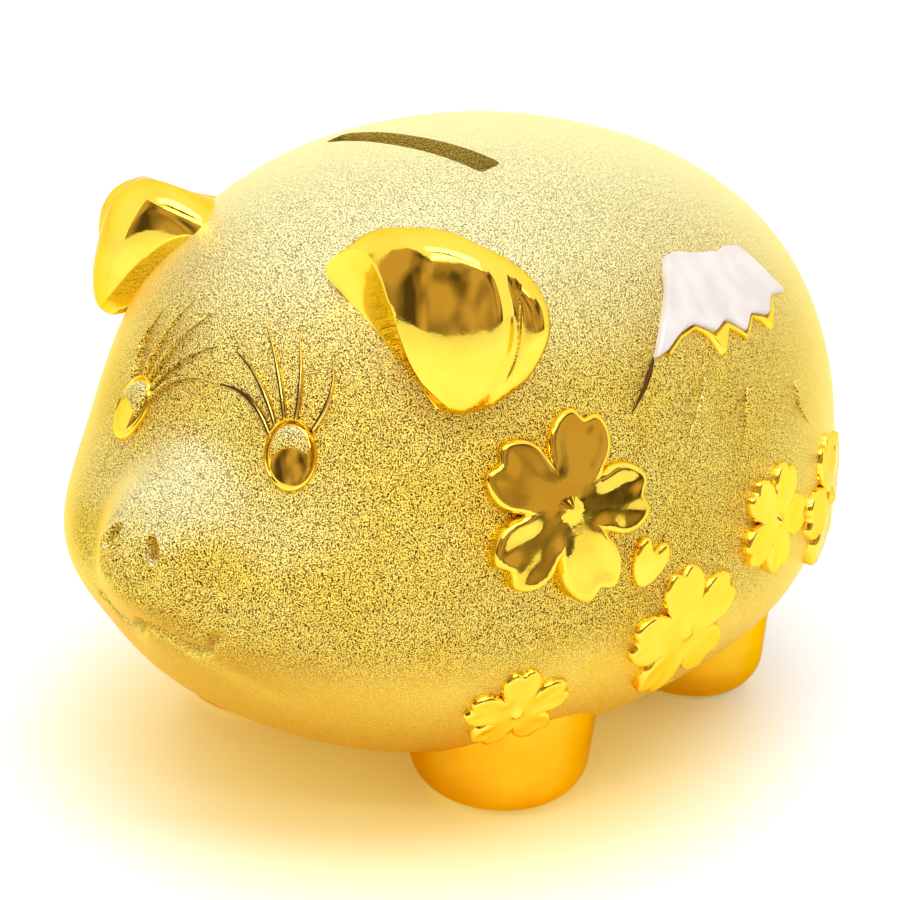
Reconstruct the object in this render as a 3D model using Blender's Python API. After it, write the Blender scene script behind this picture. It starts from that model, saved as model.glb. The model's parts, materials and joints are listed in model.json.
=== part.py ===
"""Ceramic piggy bank: a hollow cast body with applied ears, feet, tail and relief.

Frame: +Z is up, the face looks along -Y and the pig's left side is +X. The origin is
on the floor, under the middle of the bank. All lengths are in metres.

The body is one smooth form around a middle point: body_radius() gives the distance
from that point to the outer face in any direction. Every ornament is laid on that
same face, so all of them follow its curve.
"""
import math

import bmesh
import bpy
import numpy as np

# ---- Driving dimensions ----
GAP = 0.0003                    # clearance between pieces that touch

MIDDLE = np.array((0.0, 0.0029, 0.0479))    # the point that the body is drawn around
HALF_WIDTH_FRONT = 0.0551
HALF_WIDTH_BACK = 0.0612
REACH_FRONT = 0.0739
REACH_BACK = 0.0774
REACH_UP = 0.0623
REACH_DOWN = 0.0458
FULLNESS = 2.25                 # 2 is an ellipsoid, more is fuller
CHEEK_GROWTH = 0.098            # how far the cheeks swell, as a share of the radius
CHEEK_WIDTH = 0.53              # sizes on the face are shares of a unit vector
CHEEK_HEIGHT = 0.17
CHEEK_RISE = -0.014
SNOUT_LENGTH = 0.0064           # how far the snout stands out between the cheeks
SNOUT_WIDTH = 0.140
SNOUT_HEIGHT = 0.145
SNOUT_RISE = 0.080
CHIN_LENGTH = 0.0012            # how far the chin stands out below the mouth
CHIN_WIDTH = 0.135
CHIN_HEIGHT = 0.080
CHIN_RISE = -0.170
BROW_DEPTH = 0.0010             # how far the brow is flattened
BROW_WIDTH = 0.42
BROW_HEIGHT = 0.20
BROW_RISE = 0.34
WALL = 0.0045

SLOT_LENGTH = 0.0335
SLOT_WIDTH = 0.0055
SLOT_Y = MIDDLE[1] - 0.0190
SLOT_END_RADIUS = 0.0012

HOLE_Y = MIDDLE[1] + 0.0080     # middle of the emptying hole in the belly
HOLE_RADIUS = 0.0125
SEAT_RADIUS = 0.0155            # shallow step that takes the stopper's flange
SEAT_DEPTH = 0.0024
BELLY_Z = 0.0019                # height of the belly's lowest point
FLANGE_THICKNESS = 0.0018
STOPPER_HEIGHT = 0.0095
STOPPER_TAPER = 0.0007
STOPPER_EDGE = 0.0005           # chamfer around the flange and the plug's end
TAB_RECESS_RADIUS = 0.0085
TAB_RECESS_DEPTH = 0.0011
TAB_WIDTH = 0.003

FOOT_EDGE = 0.0082              # rounding around the sole
FOOT_TOP_Z = 0.024
# Feet: centre on the left side as (X, Y from the middle), radius at the top, radius
# above the rounded sole.
FEET = {
    "front": ((0.0275, -0.0228), 0.0174, 0.0158),
    "rear": ((0.0292, 0.0383), 0.0150, 0.0142),
}

# The ears are hoods: a dome over a scooped inner edge, with a low collar behind it.
# Places on an ear are (across, up) in metres, with its depth towards the viewer.
EAR_TURN = math.radians(27.0)   # the left ear's front looks this far outwards from -Y
EAR_MIDDLE = MIDDLE + np.array((0.0350, -0.0500, 0.0420))
EAR_RIGHT_TURN = math.radians(17.5)
EAR_RIGHT_ROLL = 20.0           # degrees that the right ear's outer side is tipped up
EAR_RIGHT_SHIFT = np.array((0.0031, 0.0047, -0.0015))
EAR_RIGHT_REACH = 0.77          # the right ear's inner end is shorter
EAR_DEPTH = 0.020               # how far the ear's root runs back into the head
EAR_ROOT_INSET = (0.0020, 0.0060, 0.0075)   # narrowing towards the root: inner, outer, top
EAR_CENTRE = (-0.0025, 0.0005)
# Outline from the inner corner over the top and round to the tip.
EAR_OUTLINE = (
    (-0.0227, 0.0055), (-0.0199, 0.0087), (-0.0140, 0.0126), (-0.0031, 0.0137), (0.0062, 0.0099),
    (0.0115, 0.0052), (0.0131, 0.0000), (0.0115, -0.0054), (0.0083, -0.0098), (0.0031, -0.0129),
    (-0.0028, -0.0124), (-0.0064, -0.0087), (-0.0145, -0.0018), (-0.0210, 0.0025),
)
EAR_SMOOTH_STEPS = 4            # points between two outline points
EAR_SHARES = (1.0, 0.985, 0.955, 0.92, 0.87, 0.81, 0.74, 0.65, 0.54, 0.41, 0.26, 0.12)
EAR_FRONT = 0.0065              # depth of the dome's flat lower part
EAR_DOME_FLOOR = -0.0060
EAR_DOME_TOP = 0.0145
EAR_DOME_DEPTH = 0.0085
EAR_INNER_DROP = 0.0075
EAR_SIDE_CURVE = 34.0
EAR_EDGE_RADIUS = 0.0024
SCOOP_EDGE = ((-0.0255, 0.0045), (-0.0210, 0.0025), (-0.0145, -0.0018),
              (-0.0064, -0.0087), (-0.0022, -0.0125))
SCOOP_WIDTH = (0.0088, 0.0018)  # at the inner corner, at the tip
SCOOP_DEPTH = 0.0042
COLLAR_PLACE = 0.0078
COLLAR_STEP = 0.0010
COLLAR_GROOVE = 0.0009

TAIL_PLACE = (180.0, 9.0)
TAIL_RADIUS = 0.0060            # radius of the curl at the tail's root
TAIL_THICKNESS = 0.0021         # radius of the tail itself at its root
TAIL_LIFT = 0.0012              # height of the tail's middle line above the rump

RELIEF_EDGE = 0.0016            # height of a blossom's rim above the body

# Places on the left side: degrees from the nose towards the left, and degrees up.
# The right side carries the same ornaments, mirrored and set further back.
RIGHT_SIDE_SHIFT = 22.0
# Blossoms: place, reach of a petal, turn.
BLOSSOMS = {
    "blossom_large": ((51.0, 12.3), 0.0163, -17.0),
    "blossom_low": ((78.2, -13.6), 0.0135, 15.0),
    "blossom_chest": ((45.9, -20.0), 0.0098, 6.0),
    "blossom_side": ((100.3, 1.0), 0.0105, -24.0),
    "blossom_rear": ((123.5, -2.0), 0.0135, 23.0),
}
LOOSE_PETAL = ((67.0, 1.6), 0.0045, -24.0)

EYE_PLACE = (13.9, 17.0)
EYE_TILT = 13.0
EYE_HALF_WIDTH = 0.0043
EYE_HALF_HEIGHT = 0.0057
# Eyelashes, root to tip, as (across, up) from the eye's middle.
LASHES = (
    ((-0.0036, 0.0018), (-0.0082, 0.0072), (-0.0154, 0.0094)),
    ((-0.0030, 0.0034), (-0.0072, 0.0100), (-0.0134, 0.0149)),
    ((-0.0018, 0.0046), (-0.0045, 0.0122), (-0.0090, 0.0197)),
    ((-0.0002, 0.0048), (-0.0006, 0.0120), (-0.0032, 0.0200)),
    ((0.0026, 0.0038), (0.0046, 0.0100), (0.0034, 0.0161)),
)
LASH_WIDTH = 0.0011
LASH_HEIGHT = 0.0010

# The mountain stands high on the side; its points are (along, up) from this place.
MOUNTAIN_PLACE = (92.2, 41.0)
SNOW_MIDDLE = np.array((0.0015, 0.0005))
SNOW_HEIGHT = 0.0011
SNOW_TOP = (
    (-0.0197, -0.0084), (-0.0151, -0.0030), (-0.0111, 0.0015), (-0.0072, 0.0074), (-0.0040, 0.0078),
    (0.0017, 0.0065), (0.0076, 0.0060), (0.0108, 0.0067), (0.0148, 0.0063), (0.0206, -0.0002),
    (0.0250, -0.0038),
)
SNOW_TEETH = (
    (0.0178, -0.0037), (0.0145, -0.0072), (0.0086, -0.0060), (0.0055, -0.0089), (0.0009, -0.0058),
    (-0.0029, -0.0073), (-0.0078, -0.0050), (-0.0119, -0.0058), (-0.0160, -0.0078),
)
ROCK_DROP = 0.0014              # how far the gold rock shows under the snow's teeth
ROCK_HEIGHT = 0.0009
SLOPE = ((-0.0204, -0.0094), (-0.0225, -0.0114), (-0.0253, -0.0138), (-0.0279, -0.0157))
RIDGES = (
    ((-0.0083, -0.0137), (-0.0103, -0.0176), (-0.0132, -0.0208), (-0.0163, -0.0247)),
    ((0.0030, -0.0178), (0.0023, -0.0214), (0.0012, -0.0255), (-0.0004, -0.0305)),
    ((0.0213, -0.0198), (0.0214, -0.0232), (0.0237, -0.0265), (0.0278, -0.0294)),
)
RIDGE_WIDTH = 0.0012
RIDGE_HEIGHT = 0.0009

BODY_DETAIL = 5                 # icosphere subdivisions of the body's outer face
CAVITY_DETAIL = 4

GOLD = (0.83, 0.58, 0.14, 1.0)
FROSTED_GOLD = (0.80, 0.62, 0.27, 1.0)
GLAZE_WHITE = (0.90, 0.89, 0.88, 1.0)
RUBBER_GREY = (0.62, 0.60, 0.57, 1.0)


# ---- The body's form ----
def ease(value):
    """A smooth step from 0 to 1."""
    value = np.clip(value, 0.0, 1.0)
    return value * value * (3.0 - 2.0 * value)


def blend(start, end, share):
    return start + (end - start) * share


def body_radius(ways):
    """Distance from the middle to the outer face along the unit vectors `ways`."""
    x, y, z = ways.T
    half_width = blend(HALF_WIDTH_FRONT, HALF_WIDTH_BACK, ease((y + 0.9) / 1.8))
    reach = blend(REACH_FRONT, REACH_BACK, ease((y + 0.4) / 0.8))
    half_height = blend(REACH_DOWN, REACH_UP, ease((z + 0.6) / 1.2))
    total = (abs(x) / half_width) ** FULLNESS
    total += (abs(y) / reach) ** FULLNESS
    total += (abs(z) / half_height) ** FULLNESS
    cheeks = np.exp(-abs(x / CHEEK_WIDTH) ** 3 - ((z - CHEEK_RISE) / CHEEK_HEIGHT) ** 2)
    snout = np.exp(-np.hypot(x / SNOUT_WIDTH, (z - SNOUT_RISE) / SNOUT_HEIGHT) ** 3.4)
    chin = np.exp(-abs(x / CHIN_WIDTH) ** 3 - ((z - CHIN_RISE) / CHIN_HEIGHT) ** 2)
    brow = np.exp(-(x / BROW_WIDTH) ** 4 - ((z - BROW_RISE) / BROW_HEIGHT) ** 2)
    plain = total ** (-1.0 / FULLNESS)
    face = plain * CHEEK_GROWTH * cheeks + SNOUT_LENGTH * snout + CHIN_LENGTH * chin - BROW_DEPTH * brow
    return plain + face * (y < 0.0)


def unit(vectors):
    return vectors / np.linalg.norm(vectors, axis=-1, keepdims=True)


def normals_at(points):
    """Outward normals of the body's form at `points`, which start at the middle."""
    def level(places):
        return np.linalg.norm(places, axis=1) / body_radius(unit(places))
    step = 1e-5
    slope = [level(points + step * axis) - level(points - step * axis) for axis in np.eye(3)]
    return unit(np.stack(slope, axis=1))


def on_body(ways, lift=0.0):
    """World points `lift` above the outer face, met along the unit vectors `ways`."""
    points = ways * body_radius(ways)[:, None]
    lifts = np.broadcast_to(lift, len(points))
    return MIDDLE + points + normals_at(points) * lifts[:, None]


class Seat:
    """A place on the left side of the body, with its own flat (along, up) sheet."""

    def __init__(self, place, shift=(0.0, 0.0)):
        round_, up = np.radians(place)
        way = np.array([[math.sin(round_) * math.cos(up), -math.cos(round_) * math.cos(up), math.sin(up)]])
        point = (way * body_radius(way)[:, None])[0]
        self.normal = normals_at(point[None])[0]
        self.rise = unit(np.array((0.0, 0.0, 1.0)) - self.normal[2] * self.normal)
        self.along = np.cross(self.rise, self.normal)
        self.point = point + shift[0] * self.along + shift[1] * self.rise

    def wrap(self, sheet_points, lift):
        """World points of (along, up) sheet points, laid on the body and lifted."""
        flat = np.asarray(sheet_points)
        rays = self.point + flat[:, :1] * self.along + flat[:, 1:] * self.rise
        return on_body(unit(rays), lift)


# ---- Making objects ----
def material(name, colour, roughness, metallic):
    made = bpy.data.materials.new(name)
    made.diffuse_color = colour
    made.use_nodes = True
    shader = made.node_tree.nodes["Principled BSDF"]
    shader.inputs["Base Color"].default_value = colour
    shader.inputs["Roughness"].default_value = roughness
    shader.inputs["Metallic"].default_value = metallic
    return made


def add_object(name, form, look, smooth_angle=40.0):
    """Turn a bmesh into a named object with outward faces and its own material."""
    bmesh.ops.recalc_face_normals(form, faces=form.faces)
    mesh = bpy.data.meshes.new(name)
    form.to_mesh(mesh)
    form.free()
    mesh.shade_smooth()
    mesh.set_sharp_from_angle(angle=math.radians(smooth_angle))
    made = bpy.data.objects.new(name, mesh)
    bpy.context.collection.objects.link(made)
    if look is not None:
        mesh.materials.append(look)
    return made


def ring_form(rings):
    """A closed bmesh through rings of equal length, each end closed by one face fan."""
    form = bmesh.new()
    rows = [[form.verts.new(point) for point in ring] for ring in rings]
    count = len(rows[0])
    for lower, upper in zip(rows, rows[1:]):
        for i in range(count):
            j = (i + 1) % count
            form.faces.new((lower[i], lower[j], upper[j], upper[i]))
    for row in (rows[0], rows[-1]):
        centre = form.verts.new(np.mean([vert.co for vert in row], axis=0))
        for i in range(count):
            form.faces.new((row[i], row[(i + 1) % count], centre))
    return form


def mirrored(form):
    """The form moved to the pig's right side."""
    for vert in form.verts:
        vert.co.x = -vert.co.x
    return form


def add_pair(name, form, look, smooth_angle=40.0):
    """The left piece and its mirror image."""
    right_form = mirrored(form.copy())
    left = add_object(name + "_left", form, look, smooth_angle)
    right = add_object(name + "_right", right_form, look, smooth_angle)
    return left, right


def add_ornament(name, place, make_form, look, shift=(0.0, 0.0)):
    """An ornament on each side of the body; make_form() lays it on a seat."""
    place_right = (place[0] + RIGHT_SIDE_SHIFT, place[1])
    add_object(name + "_left", make_form(Seat(place, shift)), look, 30.0)
    add_object(name + "_right", mirrored(make_form(Seat(place_right, shift))), look, 30.0)


def body_form(detail, lift):
    """The closed outer form of the body, moved out by `lift`."""
    form = bmesh.new()
    bmesh.ops.create_icosphere(form, subdivisions=detail, radius=1.0)
    ways = unit(np.array([vert.co for vert in form.verts]))
    for vert, place in zip(form.verts, on_body(ways, lift)):
        vert.co = place
    return form


def add_cutter(name, form):
    cutter = add_object(name, form, None)
    cutter.hide_render = True
    cutter.display_type = "WIRE"
    return cutter


def cut(piece, cutter):
    boolean = piece.modifiers.new("cut_" + cutter.name, "BOOLEAN")
    boolean.operation = "DIFFERENCE"
    boolean.solver = "EXACT"
    boolean.object = cutter


def circle(radius, height, centre, count):
    angles = np.arange(count) * 2.0 * math.pi / count
    x = centre[0] + radius * np.cos(angles)
    y = centre[1] + radius * np.sin(angles)
    return np.stack((x, y, np.full(count, height)), axis=1)


def box_form(low, high):
    form = bmesh.new()
    bmesh.ops.create_cube(form, size=1.0)
    low, high = np.array(low), np.array(high)
    for vert in form.verts:
        vert.co = (low + high) / 2.0 + np.array(vert.co) * (high - low)
    return form


# ---- Relief pieces ----
def smooth_loop(points, steps):
    """A closed Catmull-Rom curve through the points, `steps` points to each one."""
    points = np.asarray(points)
    before, after = np.roll(points, 1, axis=0), np.roll(points, -1, axis=0)
    beyond = np.roll(points, -2, axis=0)
    rows = []
    for t in np.arange(steps) / steps:
        rows.append(0.5 * (2.0 * points + (after - before) * t
                           + (2.0 * before - 5.0 * points + 4.0 * after - beyond) * t ** 2
                           + (3.0 * points - before - 3.0 * after + beyond) * t ** 3))
    return np.stack(rows, axis=1).reshape(-1, points.shape[1])


def relief_form(seat, outline, underside, top):
    """A raised piece: scales of the outline under it, then (scale, height) over it."""
    outline = np.asarray(outline)
    rings = [seat.wrap(outline * scale, GAP) for scale in underside]
    rings += [seat.wrap(outline * scale, GAP + height) for scale, height in top]
    return ring_form(rings)


def petal_reach(angle, reach):
    """Reach of a notched petal at an angle from its middle line, in radians."""
    fifth = math.pi / 5.0
    lobe = 0.50 + 0.50 * max(math.cos(angle / fifth * math.pi / 2.0), 0.0) ** 0.6
    notch = 0.12 * math.exp(-(angle / 0.10) ** 2)
    return reach * (lobe - notch)


def turned(outline, degrees):
    """Sheet points turned about the sheet's middle."""
    across, up = np.asarray(outline).T
    cos, sin = math.cos(math.radians(degrees)), math.sin(math.radians(degrees))
    return np.stack((across * cos - up * sin, across * sin + up * cos), axis=1)


def blossom_outline(reach):
    """Five notched petals; the points crowd where the outline bends most."""
    outline = []
    for petal in range(5):
        for share in (-1.0, -0.80, -0.50, -0.20, 0.0, 0.20, 0.50, 0.80):
            angle = share * math.pi / 5.0
            way = math.pi / 2.0 - petal * 2.0 * math.pi / 5.0 - angle
            edge = petal_reach(angle, reach)
            outline.append((edge * math.cos(way), edge * math.sin(way)))
    return outline


def add_blossoms(look):
    top = ((1.0, 0.5 * RELIEF_EDGE), (0.92, RELIEF_EDGE), (0.5, 0.6 * RELIEF_EDGE))
    for name, (place, reach, turn) in BLOSSOMS.items():
        outline = turned(blossom_outline(reach), turn)
        add_ornament(name, place, lambda seat: relief_form(seat, outline, (0.5, 1.0), top), look)


def add_petal(look):
    """A single fallen petal with a notch in its end."""
    place, reach, turn = LOOSE_PETAL
    outline = []
    for step in range(24):
        angle = step * math.pi / 12.0
        notch = 0.55 * math.exp(-((angle - math.pi / 2.0) / 0.28) ** 2)
        width = 0.62 + 0.22 * math.sin(angle)
        outline.append((width * reach * math.cos(angle), reach * (math.sin(angle) - notch)))
    outline = turned(outline, turn)
    top = ((1.0, 0.5 * RELIEF_EDGE), (0.88, RELIEF_EDGE), (0.55, 0.7 * RELIEF_EDGE))
    add_ornament("petal", place, lambda seat: relief_form(seat, outline, (0.5, 1.0), top), look)


def strip_form(seat, upper, lower, height):
    """A raised strip between two curves of sheet points that run the same way."""
    upper, lower = np.asarray(upper), np.asarray(lower)
    inner_upper, inner_lower = blend(upper, lower, 0.15), blend(upper, lower, 0.85)
    rows = (seat.wrap(upper, GAP), seat.wrap(lower, GAP),
            seat.wrap(inner_lower, GAP + height), seat.wrap(inner_upper, GAP + height))
    return ring_form(np.stack(rows, axis=1))


def stroke_edges(path, width, tip_share):
    """Two edge curves of a stroke that tapers from its root to its tip."""
    path = np.asarray(path)
    ways = unit(np.gradient(path, axis=0))
    sides = np.stack((-ways[:, 1], ways[:, 0]), axis=1)
    widths = width * np.linspace(1.0, tip_share, len(path)) / 2.0
    return path + sides * widths[:, None], path - sides * widths[:, None]


def curve_through(points, steps=3):
    """A smooth open curve through three or four points."""
    points = np.asarray(points)
    degree = len(points) - 1
    stops = np.linspace(0.0, 1.0, len(points))
    share = np.linspace(0.0, 1.0, degree * steps + 1)
    fits = [np.polyval(np.polyfit(stops, points[:, axis], degree), share) for axis in (0, 1)]
    return np.stack(fits, axis=1)


def add_eyes(look):
    """Each eye is one piece: a raised ring, the ball in it and five lashes."""
    seat = Seat(EYE_PLACE)
    angles = np.arange(20) * math.pi / 10.0
    outline = np.stack((EYE_HALF_WIDTH * np.cos(angles), EYE_HALF_HEIGHT * np.sin(angles)), axis=1)
    top = ((1.0, 0.0007), (0.92, 0.0011), (0.80, 0.0006), (0.45, 0.0012))
    eyes = add_pair("eye", relief_form(seat, turned(outline, EYE_TILT), (0.5, 1.0), top), look)
    for number, path in enumerate(LASHES, start=1):
        upper, lower = stroke_edges(curve_through(path, 2), LASH_WIDTH, 0.4)
        lashes = add_pair(f"lash_{number}", strip_form(seat, upper, lower, LASH_HEIGHT), look)
        for eye, lash in zip(eyes, lashes):
            join(eye, lash)


def join(piece, addition):
    """Fuse an addition into a piece; the addition stays only as a hidden guide."""
    addition.hide_render = True
    addition.display_type = "WIRE"
    boolean = piece.modifiers.new("join_" + addition.name, "BOOLEAN")
    boolean.operation = "UNION"
    boolean.solver = "EXACT"
    boolean.object = addition


def add_mountain(snow_look, gold_look):
    """A white snow cap with the gold rock under its teeth, a slope and three ridges."""
    outline = np.array(SNOW_TOP + SNOW_TEETH) - SNOW_MIDDLE
    top = ((1.0, 0.6 * SNOW_HEIGHT), (0.95, SNOW_HEIGHT), (0.6, SNOW_HEIGHT), (0.25, SNOW_HEIGHT))
    add_ornament("snow_cap", MOUNTAIN_PLACE, lambda seat: relief_form(seat, outline, (0.4, 0.75, 1.0), top),
                 snow_look, SNOW_MIDDLE)

    upper = np.array(SNOW_TEETH) - (0.0, 2.0 * GAP)
    lower = upper - (0.0, ROCK_DROP)
    add_ornament("mountain_rock", MOUNTAIN_PLACE, lambda seat: strip_form(seat, upper, lower, ROCK_HEIGHT),
                 gold_look)

    strokes = {"mountain_slope": np.array(SLOPE)}
    for number, path in enumerate(RIDGES, start=1):
        strokes[f"ridge_{number}"] = curve_through(path, 2)
    for name, path in strokes.items():
        left, right = stroke_edges(path, RIDGE_WIDTH, 0.35)
        add_ornament(name, MOUNTAIN_PLACE,
                     lambda seat: strip_form(seat, left, right, RIDGE_HEIGHT), gold_look)


# ---- Ears, feet and tail ----
def edge_distance(places, outline):
    """Distance from each place to the closed outline."""
    run = np.roll(outline, -1, axis=0) - outline
    offset = places[:, None] - outline[None]
    share = np.clip((offset * run).sum(axis=2) / (run * run).sum(axis=1), 0.0, 1.0)
    return np.linalg.norm(offset - share[..., None] * run, axis=2).min(axis=1)


def line_distance(places, line):
    """Distance from each place to an open line, and how far along the line it is met."""
    line = np.asarray(line)
    run = np.diff(line, axis=0)
    offset = places[:, None] - line[None, :-1]
    share = np.clip((offset * run).sum(axis=2) / (run * run).sum(axis=1), 0.0, 1.0)
    gaps = np.linalg.norm(offset - share[..., None] * run, axis=2)
    nearest = gaps.argmin(axis=1)
    rows = np.arange(len(places))
    return gaps[rows, nearest], (nearest + share[rows, nearest]) / len(run)


def ear_depth(places, outline):
    """How far the ear's front stands out: the dome, less its scoop, collar and edge."""
    across, up = places.T
    rise = np.clip((up - EAR_DOME_FLOOR) / (EAR_DOME_TOP - EAR_DOME_FLOOR), 0.0, 0.98)
    depth = EAR_FRONT - EAR_DOME_DEPTH * (1.0 - np.sqrt(1.0 - rise ** 2))
    depth -= 25.0 * np.clip(EAR_DOME_FLOOR - up, 0.0, None) ** 2
    depth -= EAR_INNER_DROP * ease((-0.004 - across) / 0.019)
    depth -= EAR_SIDE_CURVE * np.clip(across + 0.0020, 0.0, 0.0105) ** 2
    beyond = across - COLLAR_PLACE + 30.0 * up ** 2
    depth -= COLLAR_GROOVE * np.exp(-(beyond / 0.0010) ** 2)
    depth -= COLLAR_STEP * ease((beyond + 0.0005) / 0.0016)
    distance, along = line_distance(places, SCOOP_EDGE)
    share = np.clip(distance / blend(*SCOOP_WIDTH, ease((along - 0.3) / 0.5)), 0.0, 1.0)
    scooped = SCOOP_DEPTH * (1.0 - share ** 1.6) * (1.0 - 0.6 * ease((along - 0.7) / 0.3))
    inside = np.clip(edge_distance(places, outline) / EAR_EDGE_RADIUS, 0.0, 1.0)
    rounded = EAR_EDGE_RADIUS * (1.0 - np.sqrt(1.0 - (1.0 - inside) ** 2))
    return depth - np.maximum(scooped, rounded)


def ear_points(places, depth, turn, middle):
    """World points from places on the ear and their depth."""
    across = np.array((math.cos(turn), math.sin(turn), 0.0))
    outward = np.array((math.sin(turn), -math.cos(turn), 0.0))
    up = np.array((0.0, 0.0, 1.0))
    return middle + places[:, :1] * across + places[:, 1:2] * up + depth[:, None] * outward


def ear_form(reach, turn, roll, middle):
    """An ear from its root inside the head, round its edge and over its front."""
    outline = smooth_loop(EAR_OUTLINE, EAR_SMOOTH_STEPS)
    centre = np.array(EAR_CENTRE)
    inset = blend(*EAR_ROOT_INSET[:2], ease(outline[:, 0] / EAR_OUTLINE[6][0]))
    inset = np.maximum(inset, EAR_ROOT_INSET[2] * ease(outline[:, 1] / 0.010))
    root = outline + unit(centre - outline) * inset[:, None]
    rings = [(root, np.full(len(root), -EAR_DEPTH))]
    for share in EAR_SHARES:
        places = centre + (outline - centre) * share
        rings.append((places, ear_depth(places, outline)))
    shaped = []
    for places, depth in rings:
        inner = np.where(places[:, 0] < 0.0, reach, 1.0)
        moved = places * np.stack((inner, np.ones(len(places))), axis=1)
        shaped.append(ear_points(turned(moved, roll), depth, turn, middle))
    return ring_form(shaped)


def add_ears(look, trim):
    """Both ears; the right one sits further back, faces more ahead and tips up."""
    left = ear_form(1.0, EAR_TURN, 0.0, EAR_MIDDLE)
    cut(add_object("ear_left", left, look, 50.0), trim)
    right = ear_form(EAR_RIGHT_REACH, EAR_RIGHT_TURN, EAR_RIGHT_ROLL, EAR_MIDDLE + EAR_RIGHT_SHIFT)
    cut(add_object("ear_right", mirrored(right), look, 50.0), trim)


def foot_form(centre, radius_top, radius_sole):
    """A stubby foot: rounded around its flat sole, a little wider at the top."""
    centre = (centre[0], MIDDLE[1] + centre[1])
    rings = []
    for step in range(6):
        angle = step * math.pi / 10.0
        radius = radius_sole - FOOT_EDGE * (1.0 - math.sin(angle))
        rings.append(circle(radius, FOOT_EDGE * (1.0 - math.cos(angle)), centre, 28))
    rings.append(circle(radius_top, FOOT_TOP_Z, centre, 28))
    return ring_form(rings)


def tail_form():
    """A curled tail: a tapering tube that rises out of the rump and lies curled on it."""
    seat = Seat(TAIL_PLACE)
    shares = np.linspace(0.0, 1.0, 20)
    angles = np.radians(-100.0 + 320.0 * shares)
    curl = TAIL_RADIUS * (1.0 - 0.5 * shares)[:, None] * np.stack((np.cos(angles), np.sin(angles)), axis=1)
    path = seat.wrap(curl, blend(-TAIL_LIFT, TAIL_LIFT, ease(4.0 * shares)))
    ways = unit(np.gradient(path, axis=0))
    turns = np.arange(8) * math.pi / 4.0
    rings = []
    for point, way, share in zip(path, ways, shares):
        side = unit(np.cross(way, seat.normal))
        lift = np.cross(side, way)
        thick = TAIL_THICKNESS * (1.0 - 0.55 * share ** 2)
        rings.append(point + thick * (np.cos(turns)[:, None] * side + np.sin(turns)[:, None] * lift))
    return ring_form(rings)


# ---- Body shell and stopper ----
def slot_form():
    """The coin slot's cutter: a long upright block with slightly rounded corners."""
    corners = []
    for sign_x, sign_y, start in ((1, 1, 0.0), (-1, 1, 90.0), (-1, -1, 180.0), (1, -1, 270.0)):
        centre_x = sign_x * (SLOT_LENGTH / 2.0 - SLOT_END_RADIUS)
        centre_y = SLOT_Y + sign_y * (SLOT_WIDTH / 2.0 - SLOT_END_RADIUS)
        for step in range(3):
            angle = math.radians(start + 45.0 * step)
            corners.append((centre_x + SLOT_END_RADIUS * math.cos(angle),
                            centre_y + SLOT_END_RADIUS * math.sin(angle)))
    low = [(x, y, MIDDLE[2] + 0.030) for x, y in corners]
    high = [(x, y, MIDDLE[2] + REACH_UP + 0.010) for x, y in corners]
    return ring_form([low, high])


def hole_form():
    """The emptying hole's cutter: a step for the flange, then the neck."""
    centre = (0.0, HOLE_Y)
    step_z = BELLY_Z + SEAT_DEPTH
    heights = ((SEAT_RADIUS, -0.010), (SEAT_RADIUS, step_z), (HOLE_RADIUS, step_z), (HOLE_RADIUS, 0.016))
    return ring_form([circle(radius, height, centre, 48) for radius, height in heights])


def add_body(look):
    body = add_object("body_shell", body_form(BODY_DETAIL, 0.0), look, 60.0)
    cut(body, add_cutter("cutter_cavity", body_form(CAVITY_DETAIL, -WALL)))
    cut(body, add_cutter("cutter_slot", slot_form()))
    cut(body, add_cutter("cutter_hole", hole_form()))
    return body


def add_stopper(look):
    """A tapered plug whose flange fills the step; a pull tab lies in its recess."""
    flange_top = BELLY_Z + SEAT_DEPTH - GAP
    bottom = flange_top - FLANGE_THICKNESS
    top = bottom + STOPPER_HEIGHT
    flange = SEAT_RADIUS - GAP
    neck = HOLE_RADIUS - GAP
    end = neck - STOPPER_TAPER
    profile = ((flange - STOPPER_EDGE, bottom), (flange, bottom + STOPPER_EDGE), (flange, flange_top),
               (neck, flange_top), (end, top - STOPPER_EDGE), (end - STOPPER_EDGE, top))
    middle = (0.0, 0.0)
    stopper = add_object("stopper", ring_form([circle(*rim, middle, 40) for rim in profile]), look)
    recess = [circle(TAB_RECESS_RADIUS, bottom + height, middle, 32) for height in (-0.002, TAB_RECESS_DEPTH)]
    recess_cutter = add_cutter("cutter_tab_recess", ring_form(recess))
    reach = TAB_RECESS_RADIUS + 0.001
    tab = box_form((-reach, -TAB_WIDTH / 2.0, bottom + 0.0001),
                   (reach, TAB_WIDTH / 2.0, bottom + TAB_RECESS_DEPTH + 0.001))
    tab_guide = add_cutter("guide_tab", tab)
    for piece in (stopper, recess_cutter, tab_guide):
        piece.location = (0.0, HOLE_Y, 0.0)
    cut(stopper, recess_cutter)
    join(stopper, tab_guide)
    return stopper


def main():
    for old in list(bpy.data.objects):
        bpy.data.objects.remove(old, do_unlink=True)
    frosted = material("frosted_gold", FROSTED_GOLD, 0.42, 1.0)
    gold = material("bright_gold", GOLD, 0.12, 1.0)
    white = material("white_glaze", GLAZE_WHITE, 0.15, 0.0)
    rubber = material("grey_rubber", RUBBER_GREY, 0.75, 0.0)

    add_body(frosted)
    add_stopper(rubber)
    trim = add_cutter("cutter_body", body_form(BODY_DETAIL, GAP))
    add_ears(gold, trim)
    for name, (centre, radius_top, radius_sole) in FEET.items():
        for foot in add_pair("foot_" + name, foot_form(centre, radius_top, radius_sole), gold):
            cut(foot, trim)
    cut(add_object("tail", tail_form(), gold, 60.0), trim)
    add_eyes(gold)
    add_blossoms(gold)
    add_petal(gold)
    add_mountain(white, gold)


main()
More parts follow.
